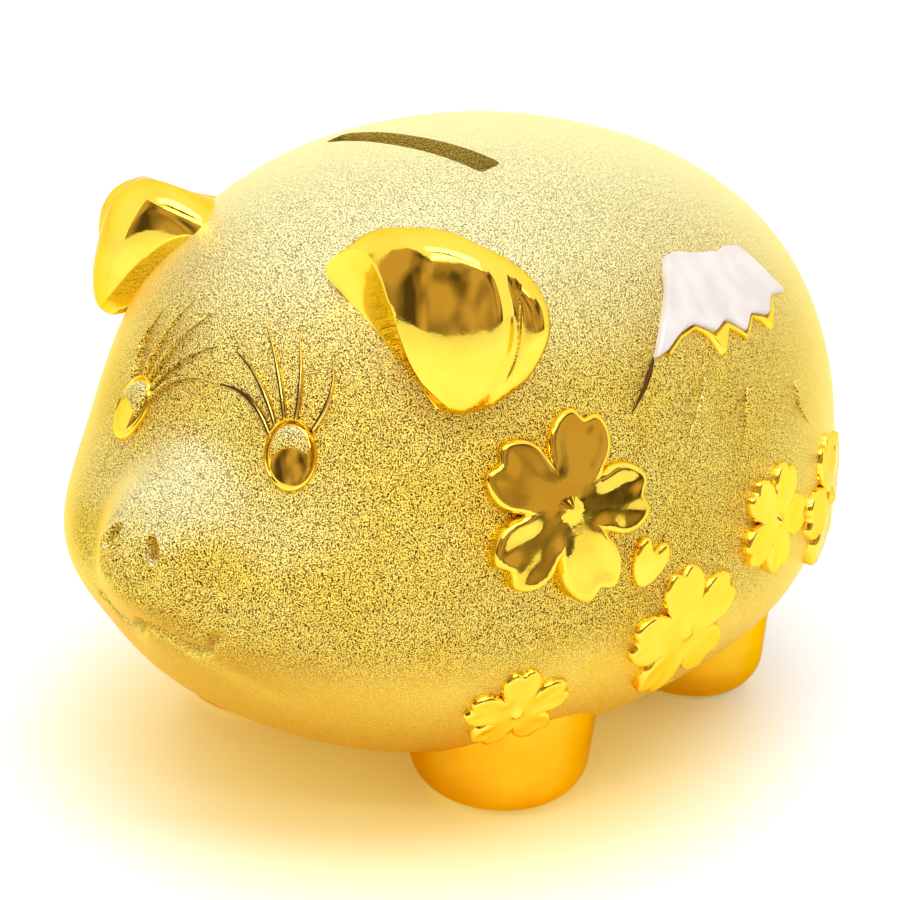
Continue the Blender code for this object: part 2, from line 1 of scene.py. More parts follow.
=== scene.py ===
"""Looks for the gold-plated ceramic pig bank.

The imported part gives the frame: +Z up, the face along -Y, the pig's left side at +X,
metres throughout. Every CAD node is stood for by a finer piece laid on the same form:
the body is a smooth shape around MIDDLE, and each ornament lies on its surface.
"""

import json
import math

import bmesh
import bpy
import numpy as np
from mathutils import Matrix, Vector

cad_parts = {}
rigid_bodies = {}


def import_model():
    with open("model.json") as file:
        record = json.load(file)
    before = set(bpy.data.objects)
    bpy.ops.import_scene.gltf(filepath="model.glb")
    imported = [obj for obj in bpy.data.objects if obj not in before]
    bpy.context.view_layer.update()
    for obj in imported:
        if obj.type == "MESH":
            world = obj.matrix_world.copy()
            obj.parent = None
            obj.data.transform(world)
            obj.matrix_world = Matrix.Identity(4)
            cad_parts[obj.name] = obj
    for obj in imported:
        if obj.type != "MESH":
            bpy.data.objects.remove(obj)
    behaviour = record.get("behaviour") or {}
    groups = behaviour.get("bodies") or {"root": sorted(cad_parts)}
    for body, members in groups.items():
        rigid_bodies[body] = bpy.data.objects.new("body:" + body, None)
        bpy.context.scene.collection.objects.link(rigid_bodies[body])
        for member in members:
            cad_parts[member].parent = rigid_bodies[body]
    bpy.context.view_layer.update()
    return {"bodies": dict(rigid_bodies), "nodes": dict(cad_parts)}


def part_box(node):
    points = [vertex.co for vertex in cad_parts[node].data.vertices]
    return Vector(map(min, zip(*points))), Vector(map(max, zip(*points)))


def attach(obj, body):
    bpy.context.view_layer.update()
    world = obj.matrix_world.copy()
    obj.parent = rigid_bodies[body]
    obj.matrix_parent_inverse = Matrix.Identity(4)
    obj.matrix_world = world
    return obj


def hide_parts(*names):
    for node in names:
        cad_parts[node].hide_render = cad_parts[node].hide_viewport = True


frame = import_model()
SIDES = ("left", "right")

# ---- The body's form, as in the part ----
MIDDLE = np.array((0.0, 0.0029, 0.0479))
UP = np.array((0.0, 0.0, 1.0))
HALF_WIDTH_FRONT = 0.0551
HALF_WIDTH_BACK = 0.0612
REACH_FRONT = 0.0739
REACH_BACK = 0.0774
REACH_UP = 0.0623
REACH_DOWN = 0.0458
FULLNESS = 2.25
CHEEK_GROWTH = 0.098
CHEEK_WIDTH = 0.53
CHEEK_HEIGHT = 0.17
CHEEK_RISE = -0.014
SNOUT_LENGTH = 0.0064
SNOUT_WIDTH = 0.140
SNOUT_HEIGHT = 0.145
SNOUT_RISE = 0.080
CHIN_LENGTH = 0.0012
CHIN_WIDTH = 0.135
CHIN_HEIGHT = 0.080
CHIN_RISE = -0.170
BROW_DEPTH = 0.0010
BROW_WIDTH = 0.42
BROW_HEIGHT = 0.20
BROW_RISE = 0.34
WALL = 0.0045
SINK = 0.0004                   # how far applied pieces are set into the body's skin

SLOT_LENGTH = 0.0335
SLOT_WIDTH = 0.0055
SLOT_Y = MIDDLE[1] - 0.0190
SLOT_END_RADIUS = 0.0012
SLOT_CUT = (0.030, REACH_UP + 0.010)        # the slot's cutter, above MIDDLE

HOLE_GAP = 0.0003               # between the stopper and the hole in the belly
HOLE_STEP_Z = 0.0043            # where the hole narrows from the flange to the neck
HOLE_LOW_Z = -0.010
HOLE_HIGH_Z = 0.016
NECK_INSET = 0.0030             # the neck's radius is this much less than the flange's
FLANGE_HEIGHT = 0.0017
FLANGE_EDGE = 0.0006
RIB_HEIGHT = 0.00018
RECESS_RADIUS = 0.0085
RECESS_DEPTH = 0.0011
TAB_SIZE = np.array((0.0176, 0.0030, 0.0012))
TAB_EDGE = 0.0003
TAB_LIFT = 0.0008

EAR_TURN = math.radians(27.0)
EAR_MIDDLE = MIDDLE + np.array((0.0350, -0.0500, 0.0420))
EAR_DEPTH = 0.020
EAR_ROOT_INSET = (0.0020, 0.0060, 0.0075)
EAR_CENTRE = (-0.0025, 0.0005)
EAR_OUTLINE = (
    (-0.0227, 0.0055), (-0.0199, 0.0087), (-0.0140, 0.0126), (-0.0031, 0.0137), (0.0062, 0.0099),
    (0.0115, 0.0052), (0.0131, 0.0000), (0.0115, -0.0054), (0.0083, -0.0098), (0.0031, -0.0129),
    (-0.0028, -0.0124), (-0.0064, -0.0087), (-0.0145, -0.0018), (-0.0210, 0.0025),
)
EAR_OUTER_END = max(across for across, up in EAR_OUTLINE)
EAR_RIGHT_REACH = 0.77          # the right ear's inner end stops short of the crown
EAR_RIGHT_TURN = math.radians(17.5)
EAR_RIGHT_SHIFT = np.array((0.0031, 0.0047, -0.0015))
EAR_RIGHT_ROLL = 20.0           # degrees that the right ear's outer side is tipped up
EAR_FRONT = 0.0065
EAR_DOME_FLOOR = -0.0060
EAR_DOME_TOP = 0.0145
EAR_DOME_DEPTH = 0.0085
EAR_LOW_CURVE = 25.0            # the front falls back below the dome,
EAR_INNER_START = -0.004        # drops towards its inner end
EAR_INNER_RUN = 0.019
EAR_INNER_DROP = 0.0075
EAR_SIDE_START = -0.0020        # and curves back towards its outer end
EAR_SIDE_RUN = 0.0105
EAR_SIDE_CURVE = 34.0
EAR_EDGE_RADIUS = 0.0024
SCOOP_EDGE = (
    (-0.0255, 0.0045), (-0.0210, 0.0025), (-0.0145, -0.0018), (-0.0064, -0.0087), (-0.0022, -0.0125),
)
SCOOP_WIDTH = (0.0088, 0.0018)
SCOOP_DEPTH = 0.0042
COLLAR_PLACE = 0.0078
COLLAR_BOW = 30.0
COLLAR_STEP = 0.0010
COLLAR_GROOVE = 0.0009
COLLAR_GROOVE_WIDTH = 0.0010

FOOT_EDGE = 0.0082
FOOT_TOP_Z = 0.024
FEET = {
    "front": ((0.0275, -0.0228), 0.0174, 0.0158),
    "rear": ((0.0292, 0.0383), 0.0150, 0.0142),
}

TAIL_PLACE = (180.0, 9.0)
TAIL_RADIUS = 0.0060
TAIL_THICKNESS = 0.0021
TAIL_LIFT = 0.0012
TAIL_SWEEP = (-100.0, 220.0)    # degrees round the curl, from root to tip

# ---- Ornaments: places in degrees from the nose and up, sheet points in metres ----
RIGHT_SIDE_SHIFT = 22.0         # the right side's ornaments sit this much further back
RINGS = (                       # the shares of an outline at which a relief has its rings
    1.0, 0.985, 0.965, 0.94, 0.91, 0.87, 0.82, 0.76, 0.68, 0.59, 0.50, 0.41, 0.32, 0.24, 0.17, 0.11, 0.05,
)
BLOSSOMS = {
    "blossom_large": ((51.0, 12.3), 0.0163, -17.0),
    "blossom_low": ((78.2, -13.6), 0.0135, 15.0),
    "blossom_chest": ((45.9, -20.0), 0.0098, 6.0),
    "blossom_side": ((100.3, 1.0), 0.0105, -24.0),
    "blossom_rear": ((123.5, -2.0), 0.0135, 23.0),
}
BLOSSOM_SHAPES = {              # height, dish, rounding of the rim, and how far the face leans back
    "large": (0.0023, 0.0003, 0.0010, 0.10),
    "small": (0.0014, 0.0002, 0.0006, 0.05),
}
BLOSSOM_BOSS = 0.0007
PETALS = 5
LOOSE_PETAL = ((67.0, 1.6), 0.0045, -24.0)
LOOSE_PETAL_HEIGHT = 0.0012
LOOSE_PETAL_EDGE = 0.0009
LOOSE_PETAL_DISH = 0.0002

EYE_PLACE = (13.9, 17.0)
EYE_TILT = 13.0
EYE_HALF_WIDTH = 0.0043
EYE_HALF_HEIGHT = 0.0057
EYE_BALL_HEIGHT = 0.0022
EYE_BALL_SINK = 0.0008
EYE_BALL_SLOPE = 3.0            # steepest rise of the ball beside the ring
EYE_RING_HEIGHT = 0.0008
EYE_RING_WIDTH = 0.0006
EYE_RINGS = (
    1.0, 0.99, 0.97, 0.94, 0.91, 0.88, 0.85, 0.82, 0.80, 0.78, 0.75, 0.70, 0.62, 0.52, 0.42, 0.30, 0.18,
    0.08,
)
LID_SWEEP = (-8.0, 188.0)       # degrees of the lid's upper edge
LID_UPPER = (0.80, 0.83)        # its reach, as shares of the eye's half width and height
LID_LOWER = 0.76
LID_LOW = -0.0010
LID_ARCH = 0.0016
LID_MIDDLE = np.array((0.0, 0.0022))
LID_HEIGHT = 0.0004
LID_EDGE = 0.0005
LASHES = (
    ((-0.0036, 0.0018), (-0.0082, 0.0072), (-0.0154, 0.0094)),
    ((-0.0030, 0.0034), (-0.0072, 0.0100), (-0.0134, 0.0149)),
    ((-0.0018, 0.0046), (-0.0045, 0.0122), (-0.0090, 0.0197)),
    ((-0.0002, 0.0048), (-0.0006, 0.0120), (-0.0032, 0.0200)),
    ((0.0026, 0.0038), (0.0046, 0.0100), (0.0034, 0.0161)),
)
LASH_WIDTH = 0.0009
LASH_HEIGHT = 0.0010

MOUNTAIN_PLACE = (92.2, 41.0)
SNOW_MIDDLE = np.array((0.0015, 0.0005))
SNOW_HEIGHT = 0.0011
SNOW_EDGE = 0.0007
SNOW_TOP = (
    (-0.0197, -0.0084), (-0.0151, -0.0030), (-0.0111, 0.0015), (-0.0072, 0.0074), (-0.0040, 0.0078),
    (0.0017, 0.0065), (0.0076, 0.0060), (0.0108, 0.0067), (0.0148, 0.0063), (0.0206, -0.0002),
    (0.0250, -0.0038),
)
SNOW_TEETH = (
    (0.0178, -0.0037), (0.0145, -0.0072), (0.0086, -0.0060), (0.0055, -0.0089), (0.0009, -0.0058),
    (-0.0029, -0.0073), (-0.0078, -0.0050), (-0.0119, -0.0058), (-0.0160, -0.0078),
)
ROCK_DROP = 0.0014
ROCK_HEIGHT = 0.0009
ROCK_GAP = 0.0001
DRIPS = ((-0.0016, 2.6), (0.0150, 1.2))     # where the rock line hangs lower, and by how many drops
DRIP_HALF_WIDTH = 0.0022
SLOPE_WIDTH = 0.0008
SLOPE = ((-0.0193, -0.0079), (-0.0225, -0.0114), (-0.0253, -0.0138), (-0.0279, -0.0157))
RIDGES = (
    ((-0.0083, -0.0137), (-0.0103, -0.0176), (-0.0132, -0.0208), (-0.0163, -0.0247)),
    ((0.0030, -0.0178), (0.0023, -0.0214), (0.0012, -0.0255), (-0.0004, -0.0305)),
    ((0.0213, -0.0198), (0.0214, -0.0232), (0.0237, -0.0265), (0.0278, -0.0294)),
)
RIDGE_WIDTH = 0.0012
RIDGE_HEIGHT = 0.0005

# ---- Face details that only the fine body has ----
NOSTRIL_PLACE = (2.9, 4.9)
NOSTRIL_HALF_WIDTH = 0.0007
NOSTRIL_HALF_HEIGHT = 0.0018
NOSTRIL_DEPTH = 0.0022
NOSTRIL_LEAN = 0.35
NOSTRIL_RIM = 0.0003
MOUTH_PLACE = (0.0, -6.6)
MOUTH_HALF_LENGTH = 0.0120
MOUTH_HALF_WIDTH = 0.0016
MOUTH_DEPTH = 0.0022
MOUTH_CENTRE = 0.0012           # the mouth's line is high in the middle,
MOUTH_DIP = -0.0028             # low on each side
MOUTH_CORNER = 0.0014           # and turns up again at its corners
JAW_CREASE = ((0.0074, -0.0033), (0.0148, -0.0123), (0.0229, -0.0149))
JAW_HALF_WIDTH = 0.0026
JAW_DEPTH = 0.0007
HOLLOW_PLACE = (8.6, 2.2)       # the hollow between the snout's side and the cheek
HOLLOW_RADIUS = 0.0050
HOLLOW_DEPTH = 0.0009
FACE_REACHES = (0.28, 0.20)     # radians from the nose within which the mesh is made finer


# ---- Form helpers ----
def ease(value):
    """A smooth step from 0 to 1."""
    value = np.clip(value, 0.0, 1.0)
    return value * value * (3.0 - 2.0 * value)


def blend(start, end, share):
    return start + (end - start) * share


def body_radius(ways):
    """Distance from the middle to the outer face along the unit vectors `ways`."""
    x, y, z = ways.T
    half_width = blend(HALF_WIDTH_FRONT, HALF_WIDTH_BACK, ease((y + 0.9) / 1.8))
    reach = blend(REACH_FRONT, REACH_BACK, ease((y + 0.4) / 0.8))
    half_height = blend(REACH_DOWN, REACH_UP, ease((z + 0.6) / 1.2))
    total = (abs(x) / half_width) ** FULLNESS
    total += (abs(y) / reach) ** FULLNESS
    total += (abs(z) / half_height) ** FULLNESS
    cheeks = np.exp(-abs(x / CHEEK_WIDTH) ** 3 - ((z - CHEEK_RISE) / CHEEK_HEIGHT) ** 2)
    snout = np.exp(-np.hypot(x / SNOUT_WIDTH, (z - SNOUT_RISE) / SNOUT_HEIGHT) ** 3.4)
    chin = np.exp(-abs(x / CHIN_WIDTH) ** 3 - ((z - CHIN_RISE) / CHIN_HEIGHT) ** 2)
    brow = np.exp(-(x / BROW_WIDTH) ** 4 - ((z - BROW_RISE) / BROW_HEIGHT) ** 2)
    plain = total ** (-1.0 / FULLNESS)
    face = plain * CHEEK_GROWTH * cheeks + SNOUT_LENGTH * snout + CHIN_LENGTH * chin - BROW_DEPTH * brow
    return plain + face * (y < 0.0)


def unit(vectors):
    return vectors / np.linalg.norm(vectors, axis=-1, keepdims=True)


def normals_at(points):
    """Outward normals of the body's form at `points`, which start at the middle."""
    def level(places):
        return np.linalg.norm(places, axis=1) / body_radius(unit(places))
    step = 1e-5
    slope = [level(points + step * axis) - level(points - step * axis) for axis in np.eye(3)]
    return unit(np.stack(slope, axis=1))


def on_body(ways, lift=0.0):
    """World points `lift` above the outer face, met along the unit vectors `ways`."""
    points = ways * body_radius(ways)[:, None]
    lifts = np.broadcast_to(lift, len(points))
    return MIDDLE + points + normals_at(points) * lifts[:, None]


class Seat:
    """A place on the left side of the body, with its own flat (along, up) sheet."""

    def __init__(self, place, shift=(0.0, 0.0)):
        round_, up = np.radians(place)
        way = np.array([[math.sin(round_) * math.cos(up), -math.cos(round_) * math.cos(up), math.sin(up)]])
        point = (way * body_radius(way)[:, None])[0]
        self.normal = normals_at(point[None])[0]
        self.rise = unit(UP - self.normal[2] * self.normal)
        self.along = np.cross(self.rise, self.normal)
        self.point = point + shift[0] * self.along + shift[1] * self.rise

    def wrap(self, sheet_points, lift):
        """World points of (along, up) sheet points, laid on the body and lifted."""
        flat = np.asarray(sheet_points)
        rays = self.point + flat[:, :1] * self.along + flat[:, 1:] * self.rise
        return on_body(unit(rays), lift)

    def sheet(self, points):
        """(along, up) of points that start at the middle, and whether they are near."""
        offset = points - self.point
        near = np.linalg.norm(offset, axis=1) < 0.03
        return offset @ self.along, offset @ self.rise, near


# ---- Making objects ----
def mesh_object(name, form, smooth_angle=60.0):
    """Turn a bmesh into a named object with outward faces."""
    bmesh.ops.recalc_face_normals(form, faces=form.faces)
    mesh = bpy.data.meshes.new(name)
    form.to_mesh(mesh)
    form.free()
    made = bpy.data.objects.new(name, mesh)
    bpy.context.scene.collection.objects.link(made)
    shade(made, smooth_angle)
    return made


def shade(piece, smooth_angle):
    piece.data.shade_smooth()
    piece.data.set_sharp_from_angle(angle=math.radians(smooth_angle))


def dress(piece, look, nodes, body="bank"):
    """Give a piece its material and its body, and hide the CAD node it stands for."""
    piece.data.materials.clear()
    piece.data.materials.append(look)
    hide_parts(nodes)
    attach(piece, body)


def ring_form(rings):
    """A bmesh through rings of equal length, its ends closed by fans."""
    form = bmesh.new()
    rows = [[form.verts.new(point) for point in ring] for ring in rings]
    count = len(rows[0])
    for lower, upper in zip(rows, rows[1:]):
        for i in range(count):
            j = (i + 1) % count
            form.faces.new((lower[i], lower[j], upper[j], upper[i]))
    for row in (rows[0], rows[-1]):
        centre = form.verts.new(np.mean([vert.co for vert in row], axis=0))
        for i in range(count):
            form.faces.new((row[i], row[(i + 1) % count], centre))
    return form


def sided_object(name, side, form):
    """One side's piece; every form is made for the left side and mirrored for the right."""
    if side == "right":
        for vert in form.verts:
            vert.co.x = -vert.co.x
    return mesh_object(f"fine_{name}_{side}", form)


def carve(piece, cutter, smooth_angle, operation="DIFFERENCE"):
    """Cut one object with another, keep the result as the piece's own mesh."""
    boolean = piece.modifiers.new("carve", "BOOLEAN")
    boolean.operation = operation
    boolean.solver = "EXACT"
    boolean.object = cutter
    shown = piece.evaluated_get(bpy.context.evaluated_depsgraph_get())
    result = bpy.data.meshes.new_from_object(shown)
    piece.modifiers.clear()
    old = piece.data
    piece.data = result
    result.name = old.name
    bpy.data.meshes.remove(old)
    bpy.data.objects.remove(cutter)
    shade(piece, smooth_angle)


def trim_to_body(piece, smooth_angle):
    """Cut away what would reach through the body's skin."""
    carve(piece, mesh_object("trim", body_form(5, -SINK)), smooth_angle)


def circle(radius, height, centre, count):
    angles = np.arange(count) * 2.0 * math.pi / count
    x = centre[0] + radius * np.cos(angles)
    y = centre[1] + radius * np.sin(angles)
    return np.stack((x, y, np.full(count, height)), axis=1)


# ---- Body ----
def line_distance(points, line):
    """Distance from each point to an open line, and how far along the line it is met."""
    line = np.asarray(line)
    start, run = line[:-1], np.diff(line, axis=0)
    offset = points[:, None] - start[None]
    share = np.clip((offset * run).sum(axis=2) / (run * run).sum(axis=1), 0.0, 1.0)
    gaps = np.linalg.norm(offset - share[..., None] * run, axis=2)
    nearest = gaps.argmin(axis=1)
    rows = np.arange(len(points))
    return gaps[rows, nearest], (nearest + share[rows, nearest]) / len(run)


def face_relief(points):
    """How far nostrils, mouth and creases stand from the plain form, at points from the middle."""
    lift = np.zeros(len(points))
    left = points.copy()
    left[:, 0] = abs(left[:, 0])
    along, up, near = Seat(NOSTRIL_PLACE).sheet(left)
    across = (along + NOSTRIL_LEAN * up) / NOSTRIL_HALF_WIDTH
    tall = up / NOSTRIL_HALF_HEIGHT
    lift -= NOSTRIL_DEPTH * np.exp(-np.abs(across) ** 2.5 - np.abs(tall) ** 4) * near
    lift += NOSTRIL_RIM * np.exp(-((np.hypot(across / 2.4, tall / 1.2) - 1.0) / 0.35) ** 2) * near

    along, up, near = Seat(HOLLOW_PLACE).sheet(left)
    lift -= HOLLOW_DEPTH * np.exp(-(np.hypot(along, up) / HOLLOW_RADIUS) ** 2) * near

    along, up, near = Seat(MOUTH_PLACE).sheet(left)
    line = blend(MOUTH_CENTRE, MOUTH_DIP, ease((along - 0.0015) / 0.0050))
    line += (MOUTH_CORNER - MOUTH_DIP) * ease((along - 0.0088) / 0.0032)
    across = (up - line) / (MOUTH_HALF_WIDTH * (1.0 - 0.4 * ease(along / 0.010)))
    lift -= MOUTH_DEPTH * np.exp(-across ** 2 - (along / MOUTH_HALF_LENGTH) ** 6) * near
    distance, share = line_distance(np.stack((along, up), axis=1), JAW_CREASE)
    lift -= JAW_DEPTH * (1.0 - share) * np.exp(-(distance / JAW_HALF_WIDTH) ** 2) * near
    return lift


def body_form(detail, lift, refine=False):
    """The body's skin moved out by `lift`; refined, it has a finer mesh and relief at the face."""
    form = bmesh.new()
    bmesh.ops.create_icosphere(form, subdivisions=detail, radius=1.0)
    if refine:
        for reach in FACE_REACHES:
            edges = [edge for edge in form.edges
                     if (edge.verts[0].co + edge.verts[1].co).angle(Vector((0.0, -1.0, 0.0))) < reach]
            bmesh.ops.subdivide_edges(form, edges=edges, cuts=1, use_grid_fill=True)
            bmesh.ops.triangulate(form, faces=form.faces)
    ways = unit(np.array([vert.co for vert in form.verts]))
    if refine:
        lift = lift + face_relief(ways * body_radius(ways)[:, None])
    for vert, place in zip(form.verts, on_body(ways, lift)):
        vert.co = place
    return form


def slot_form():
    """A tall block with rounded corners that cuts the coin slot."""
    corners = []
    for sign_x, sign_y, start in ((1, 1, 0.0), (-1, 1, 90.0), (-1, -1, 180.0), (1, -1, 270.0)):
        centre_x = sign_x * (SLOT_LENGTH / 2.0 - SLOT_END_RADIUS)
        centre_y = SLOT_Y + sign_y * (SLOT_WIDTH / 2.0 - SLOT_END_RADIUS)
        for step in range(5):
            angle = math.radians(start + 22.5 * step)
            corners.append((centre_x + SLOT_END_RADIUS * math.cos(angle),
                            centre_y + SLOT_END_RADIUS * math.sin(angle)))
    return ring_form([[(x, y, MIDDLE[2] + height) for x, y in corners] for height in SLOT_CUT])


def make_body(look):
    """The hollow body, with the coin slot and the stepped hole for the stopper."""
    low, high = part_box("stopper")
    centre = ((low.x + high.x) / 2.0, (low.y + high.y) / 2.0)
    flange = (high.x - low.x) / 2.0 + HOLE_GAP
    neck = flange - NECK_INSET
    body = mesh_object("fine_body_shell", body_form(7, 0.0, True))
    carve(body, mesh_object("cavity", body_form(5, -WALL)), 50.0)
    carve(body, mesh_object("slot", slot_form()), 50.0)
    profile = ((flange, HOLE_LOW_Z), (flange, HOLE_STEP_Z), (neck, HOLE_STEP_Z), (neck, HOLE_HIGH_Z))
    hole = ring_form([circle(radius, height, centre, 72) for radius, height in profile])
    carve(body, mesh_object("hole", hole), 50.0)
    dress(body, look, "body_shell")


# ---- Relief ----
def smooth_loop(points, steps):
    """A closed Catmull-Rom curve through the points, `steps` points to each one."""
    points = np.asarray(points)
    before, after = np.roll(points, 1, axis=0), np.roll(points, -1, axis=0)
    beyond = np.roll(points, -2, axis=0)
    rows = []
    for t in np.arange(steps) / steps:
        rows.append(0.5 * (2.0 * points + (after - before) * t
                           + (2.0 * before - 5.0 * points + 4.0 * after - beyond) * t ** 2
                           + (3.0 * points - before - 3.0 * after + beyond) * t ** 3))
    return np.stack(rows, axis=1).reshape(-1, points.shape[1])


def edge_distance(points, outline):
    """Distance from each point to the closed outline."""
    start, end = outline, np.roll(outline, -1, axis=0)
    run = end - start
    offset = points[:, None] - start[None]
    share = np.clip((offset * run).sum(axis=2) / np.maximum((run * run).sum(axis=1), 1e-12), 0.0, 1.0)
    return np.linalg.norm(offset - share[..., None] * run, axis=2).min(axis=1)


def relief(seat, outline, height, rings=RINGS):
    """A raised piece inside an outline; height(points, distance to the edge) shapes it."""
    outline = np.asarray(outline)
    rows = [seat.wrap(outline * share, -SINK) for share in (0.3, 0.65, 1.0)]
    for share in rings:
        points = outline * share
        rows.append(seat.wrap(points, height(points, edge_distance(points, outline))))
    return ring_form(rows)


def round_edge(distance, radius):
    """1 inside, falling in a quarter circle to 0 at the edge."""
    share = np.clip(distance / radius, 0.0, 1.0)
    return np.sqrt(1.0 - (1.0 - share) ** 2)


def ribbon(seat, upper, lower, height):
    """A raised rounded strip between two curves of sheet points that run the same way."""
    upper, lower = np.asarray(upper), np.asarray(lower)
    rows = [seat.wrap(upper, -SINK)]
    for share in np.linspace(0.0, 1.0, 7):
        lift = height * max(math.sin(math.pi * share), 0.0) ** 0.5
        rows.append(seat.wrap(blend(upper, lower, share), lift))
    rows.append(seat.wrap(lower, -SINK))
    return ring_form(np.stack(rows, axis=1))


def stroke(seat, path, width, height):
    """A brush-like raised stroke along a path of sheet points, thinning to its tip."""
    path = np.asarray(path)
    ways = unit(np.gradient(path, axis=0))
    sides = np.stack((-ways[:, 1], ways[:, 0]), axis=1)
    shares = np.linspace(0.0, 1.0, len(path))
    profile = blend(0.8, 1.0, ease(shares / 0.25)) * blend(1.0, 0.25, ease((shares - 0.3) / 0.7))
    ends = np.sqrt(np.clip(np.minimum(shares, 1.0 - shares) / 0.04, 0.05, 1.0))
    widths = width * profile * ends / 2.0
    rows = []
    for turn in np.linspace(0.0, math.pi, 9):
        rows.append(seat.wrap(path + sides * (widths * math.cos(turn))[:, None],
                              height * profile * ends * math.sin(turn) ** 0.8))
    bottom = [seat.wrap(path + sides * (widths * side)[:, None], -SINK) for side in (-1.0, 1.0)]
    return ring_form(np.stack(rows + bottom, axis=1))


def curve_through(points, steps):
    """A smooth open curve through three or four points."""
    points = np.asarray(points)
    degree = len(points) - 1
    stops = np.linspace(0.0, 1.0, len(points))
    share = np.linspace(0.0, 1.0, steps)
    fits = [np.polyval(np.polyfit(stops, points[:, axis], degree), share) for axis in (0, 1)]
    return np.stack(fits, axis=1)


def split_runs(corners, closed):
    """The straight runs between corners, each split into six."""
    ends = np.roll(corners, -1, axis=0) if closed else corners[1:]
    rows = [blend(start, end, share) for start, end in zip(corners, ends) for share in np.arange(6) / 6.0]
    return np.array(rows if closed else rows + [corners[-1]])


def turned(outline, degrees):
    """Sheet points turned about the sheet's origin."""
    across, up = np.asarray(outline).T
    cos, sin = math.cos(math.radians(degrees)), math.sin(math.radians(degrees))
    return np.stack((across * cos - up * sin, across * sin + up * cos), axis=1)


def both_sides(name, place, make_form, look, nodes=None, shift=(0.0, 0.0),
               body_shift=RIGHT_SIDE_SHIFT):
    """The ornament on the left and its mirrored twin, set back by body_shift degrees."""
    looks = look if isinstance(look, tuple) else (look, look)
    for side, side_look in zip(SIDES, looks):
        round_ = place[0] + (body_shift if side == "right" else 0.0)
        piece = sided_object(name, side, make_form(Seat((round_, place[1]), shift)))
        dress(piece, side_look, f"{nodes or name}_{side}")


def petal_reach(angle, reach):
    """How far a blossom's edge is from its middle, `angle` away from a petal's notched tip."""
    half = math.pi / PETALS
    lobe = 0.50 + 0.50 * max(math.cos(angle / half * math.pi / 2.0), 0.0) ** 0.6
    notch = 0.12 * math.exp(-(angle / 0.10) ** 2)
    return reach * (lobe - notch)


def blossom_outline(reach):
    outline = []
    steps = np.linspace(-1.0, 1.0, 29)[:-1]
    shares = np.sign(steps) * np.abs(steps) ** 0.9
    for petal in range(PETALS):
        for share in shares:
            angle = share * math.pi / PETALS
            way = math.pi / 2.0 - petal * 2.0 * math.pi / PETALS - angle
            edge = petal_reach(angle, reach)
            outline.append((edge * math.cos(way), edge * math.sin(way)))
    return outline


def blossom_height(reach, rim, dish, edge, lean):
    """Dished petals with a rounded rim, and a small boss in the middle."""
    def height(points, distance):
        radius = np.hypot(points[:, 0], points[:, 1])
        sunk = dish * ease((distance - 0.0006) / (0.20 * reach))
        boss = BLOSSOM_BOSS * np.exp(-(radius / (0.055 * reach + 0.0003)) ** 4)
        return (rim - lean * points[:, 1]) * round_edge(distance, edge) - sunk + boss
    return height


def make_blossoms(look):
    for name, (place, reach, turn) in BLOSSOMS.items():
        outline = turned(blossom_outline(reach), turn)
        shape = BLOSSOM_SHAPES["large" if name == "blossom_large" else "small"]
        height = blossom_height(reach, *shape)
        both_sides(name, place, lambda seat: relief(seat, outline, height), look)


def make_petal(look):
    """A loose petal, notched at its outer end."""
    place, reach, turn = LOOSE_PETAL
    outline = []
    for step in range(60):
        angle = step * math.pi / 30.0
        notch = 0.55 * math.exp(-((angle - math.pi / 2.0) / 0.28) ** 2)
        taper = 0.84 + 0.28 * math.sin(angle)
        outline.append((taper * reach * math.cos(angle), reach * (math.sin(angle) - notch)))
    outline = turned(outline, turn)

    def height(points, distance):
        sunk = LOOSE_PETAL_DISH * ease((distance - LOOSE_PETAL_EDGE) / 0.0012)
        return LOOSE_PETAL_HEIGHT * round_edge(distance, LOOSE_PETAL_EDGE) - sunk
    both_sides("petal", place, lambda seat: relief(seat, outline, height), look)


def eye_outline():
    angles = np.arange(48) * 2.0 * math.pi / 48.0
    across, up = EYE_HALF_WIDTH * np.cos(angles), EYE_HALF_HEIGHT * np.sin(angles)
    return turned(np.stack((across, up), axis=1), EYE_TILT)


def eye_dome(points):
    """Height of the domed eyeball over the eye's ellipse."""
    across, up = turned(points, -EYE_TILT).T
    level = (across / EYE_HALF_WIDTH) ** 2 + ((up + 0.0006) / EYE_HALF_HEIGHT) ** 2
    return EYE_BALL_HEIGHT * np.sqrt(np.clip(1.0 - 0.8 * level, 0.0, 1.0)) - EYE_BALL_SINK


def eye_height(points, distance):
    """The ball in its rounded ring, which fades out at the bottom of the eye."""
    half = EYE_RING_WIDTH / 2.0
    ring = EYE_RING_HEIGHT * np.sqrt(np.clip(1.0 - ((distance - half) / half) ** 2, 0.0, 1.0))
    bare = np.minimum(eye_dome(points), distance * EYE_BALL_SLOPE)
    sunk = np.minimum(eye_dome(points), (distance - EYE_RING_WIDTH) * EYE_BALL_SLOPE + 0.0001)
    level = turned(points, -EYE_TILT)[:, 1] / EYE_HALF_HEIGHT
    return blend(bare, np.where(distance < EYE_RING_WIDTH, ring, sunk), ease((level + 0.75) / 0.5))


def eyelid_outline():
    """The frosted lid covers the upper part of the ball and ends in an arched lower edge."""
    sweep = np.radians(np.linspace(*LID_SWEEP, 24))
    upper = (LID_UPPER[0] * EYE_HALF_WIDTH * np.cos(sweep), LID_UPPER[1] * EYE_HALF_HEIGHT * np.sin(sweep))
    back = np.linspace(-1.0, 1.0, 14)[1:-1]
    lower = (LID_LOWER * EYE_HALF_WIDTH * back, LID_LOW + LID_ARCH * (1.0 - back ** 2))
    return turned(np.concatenate((upper, lower), axis=1).T - LID_MIDDLE, EYE_TILT)


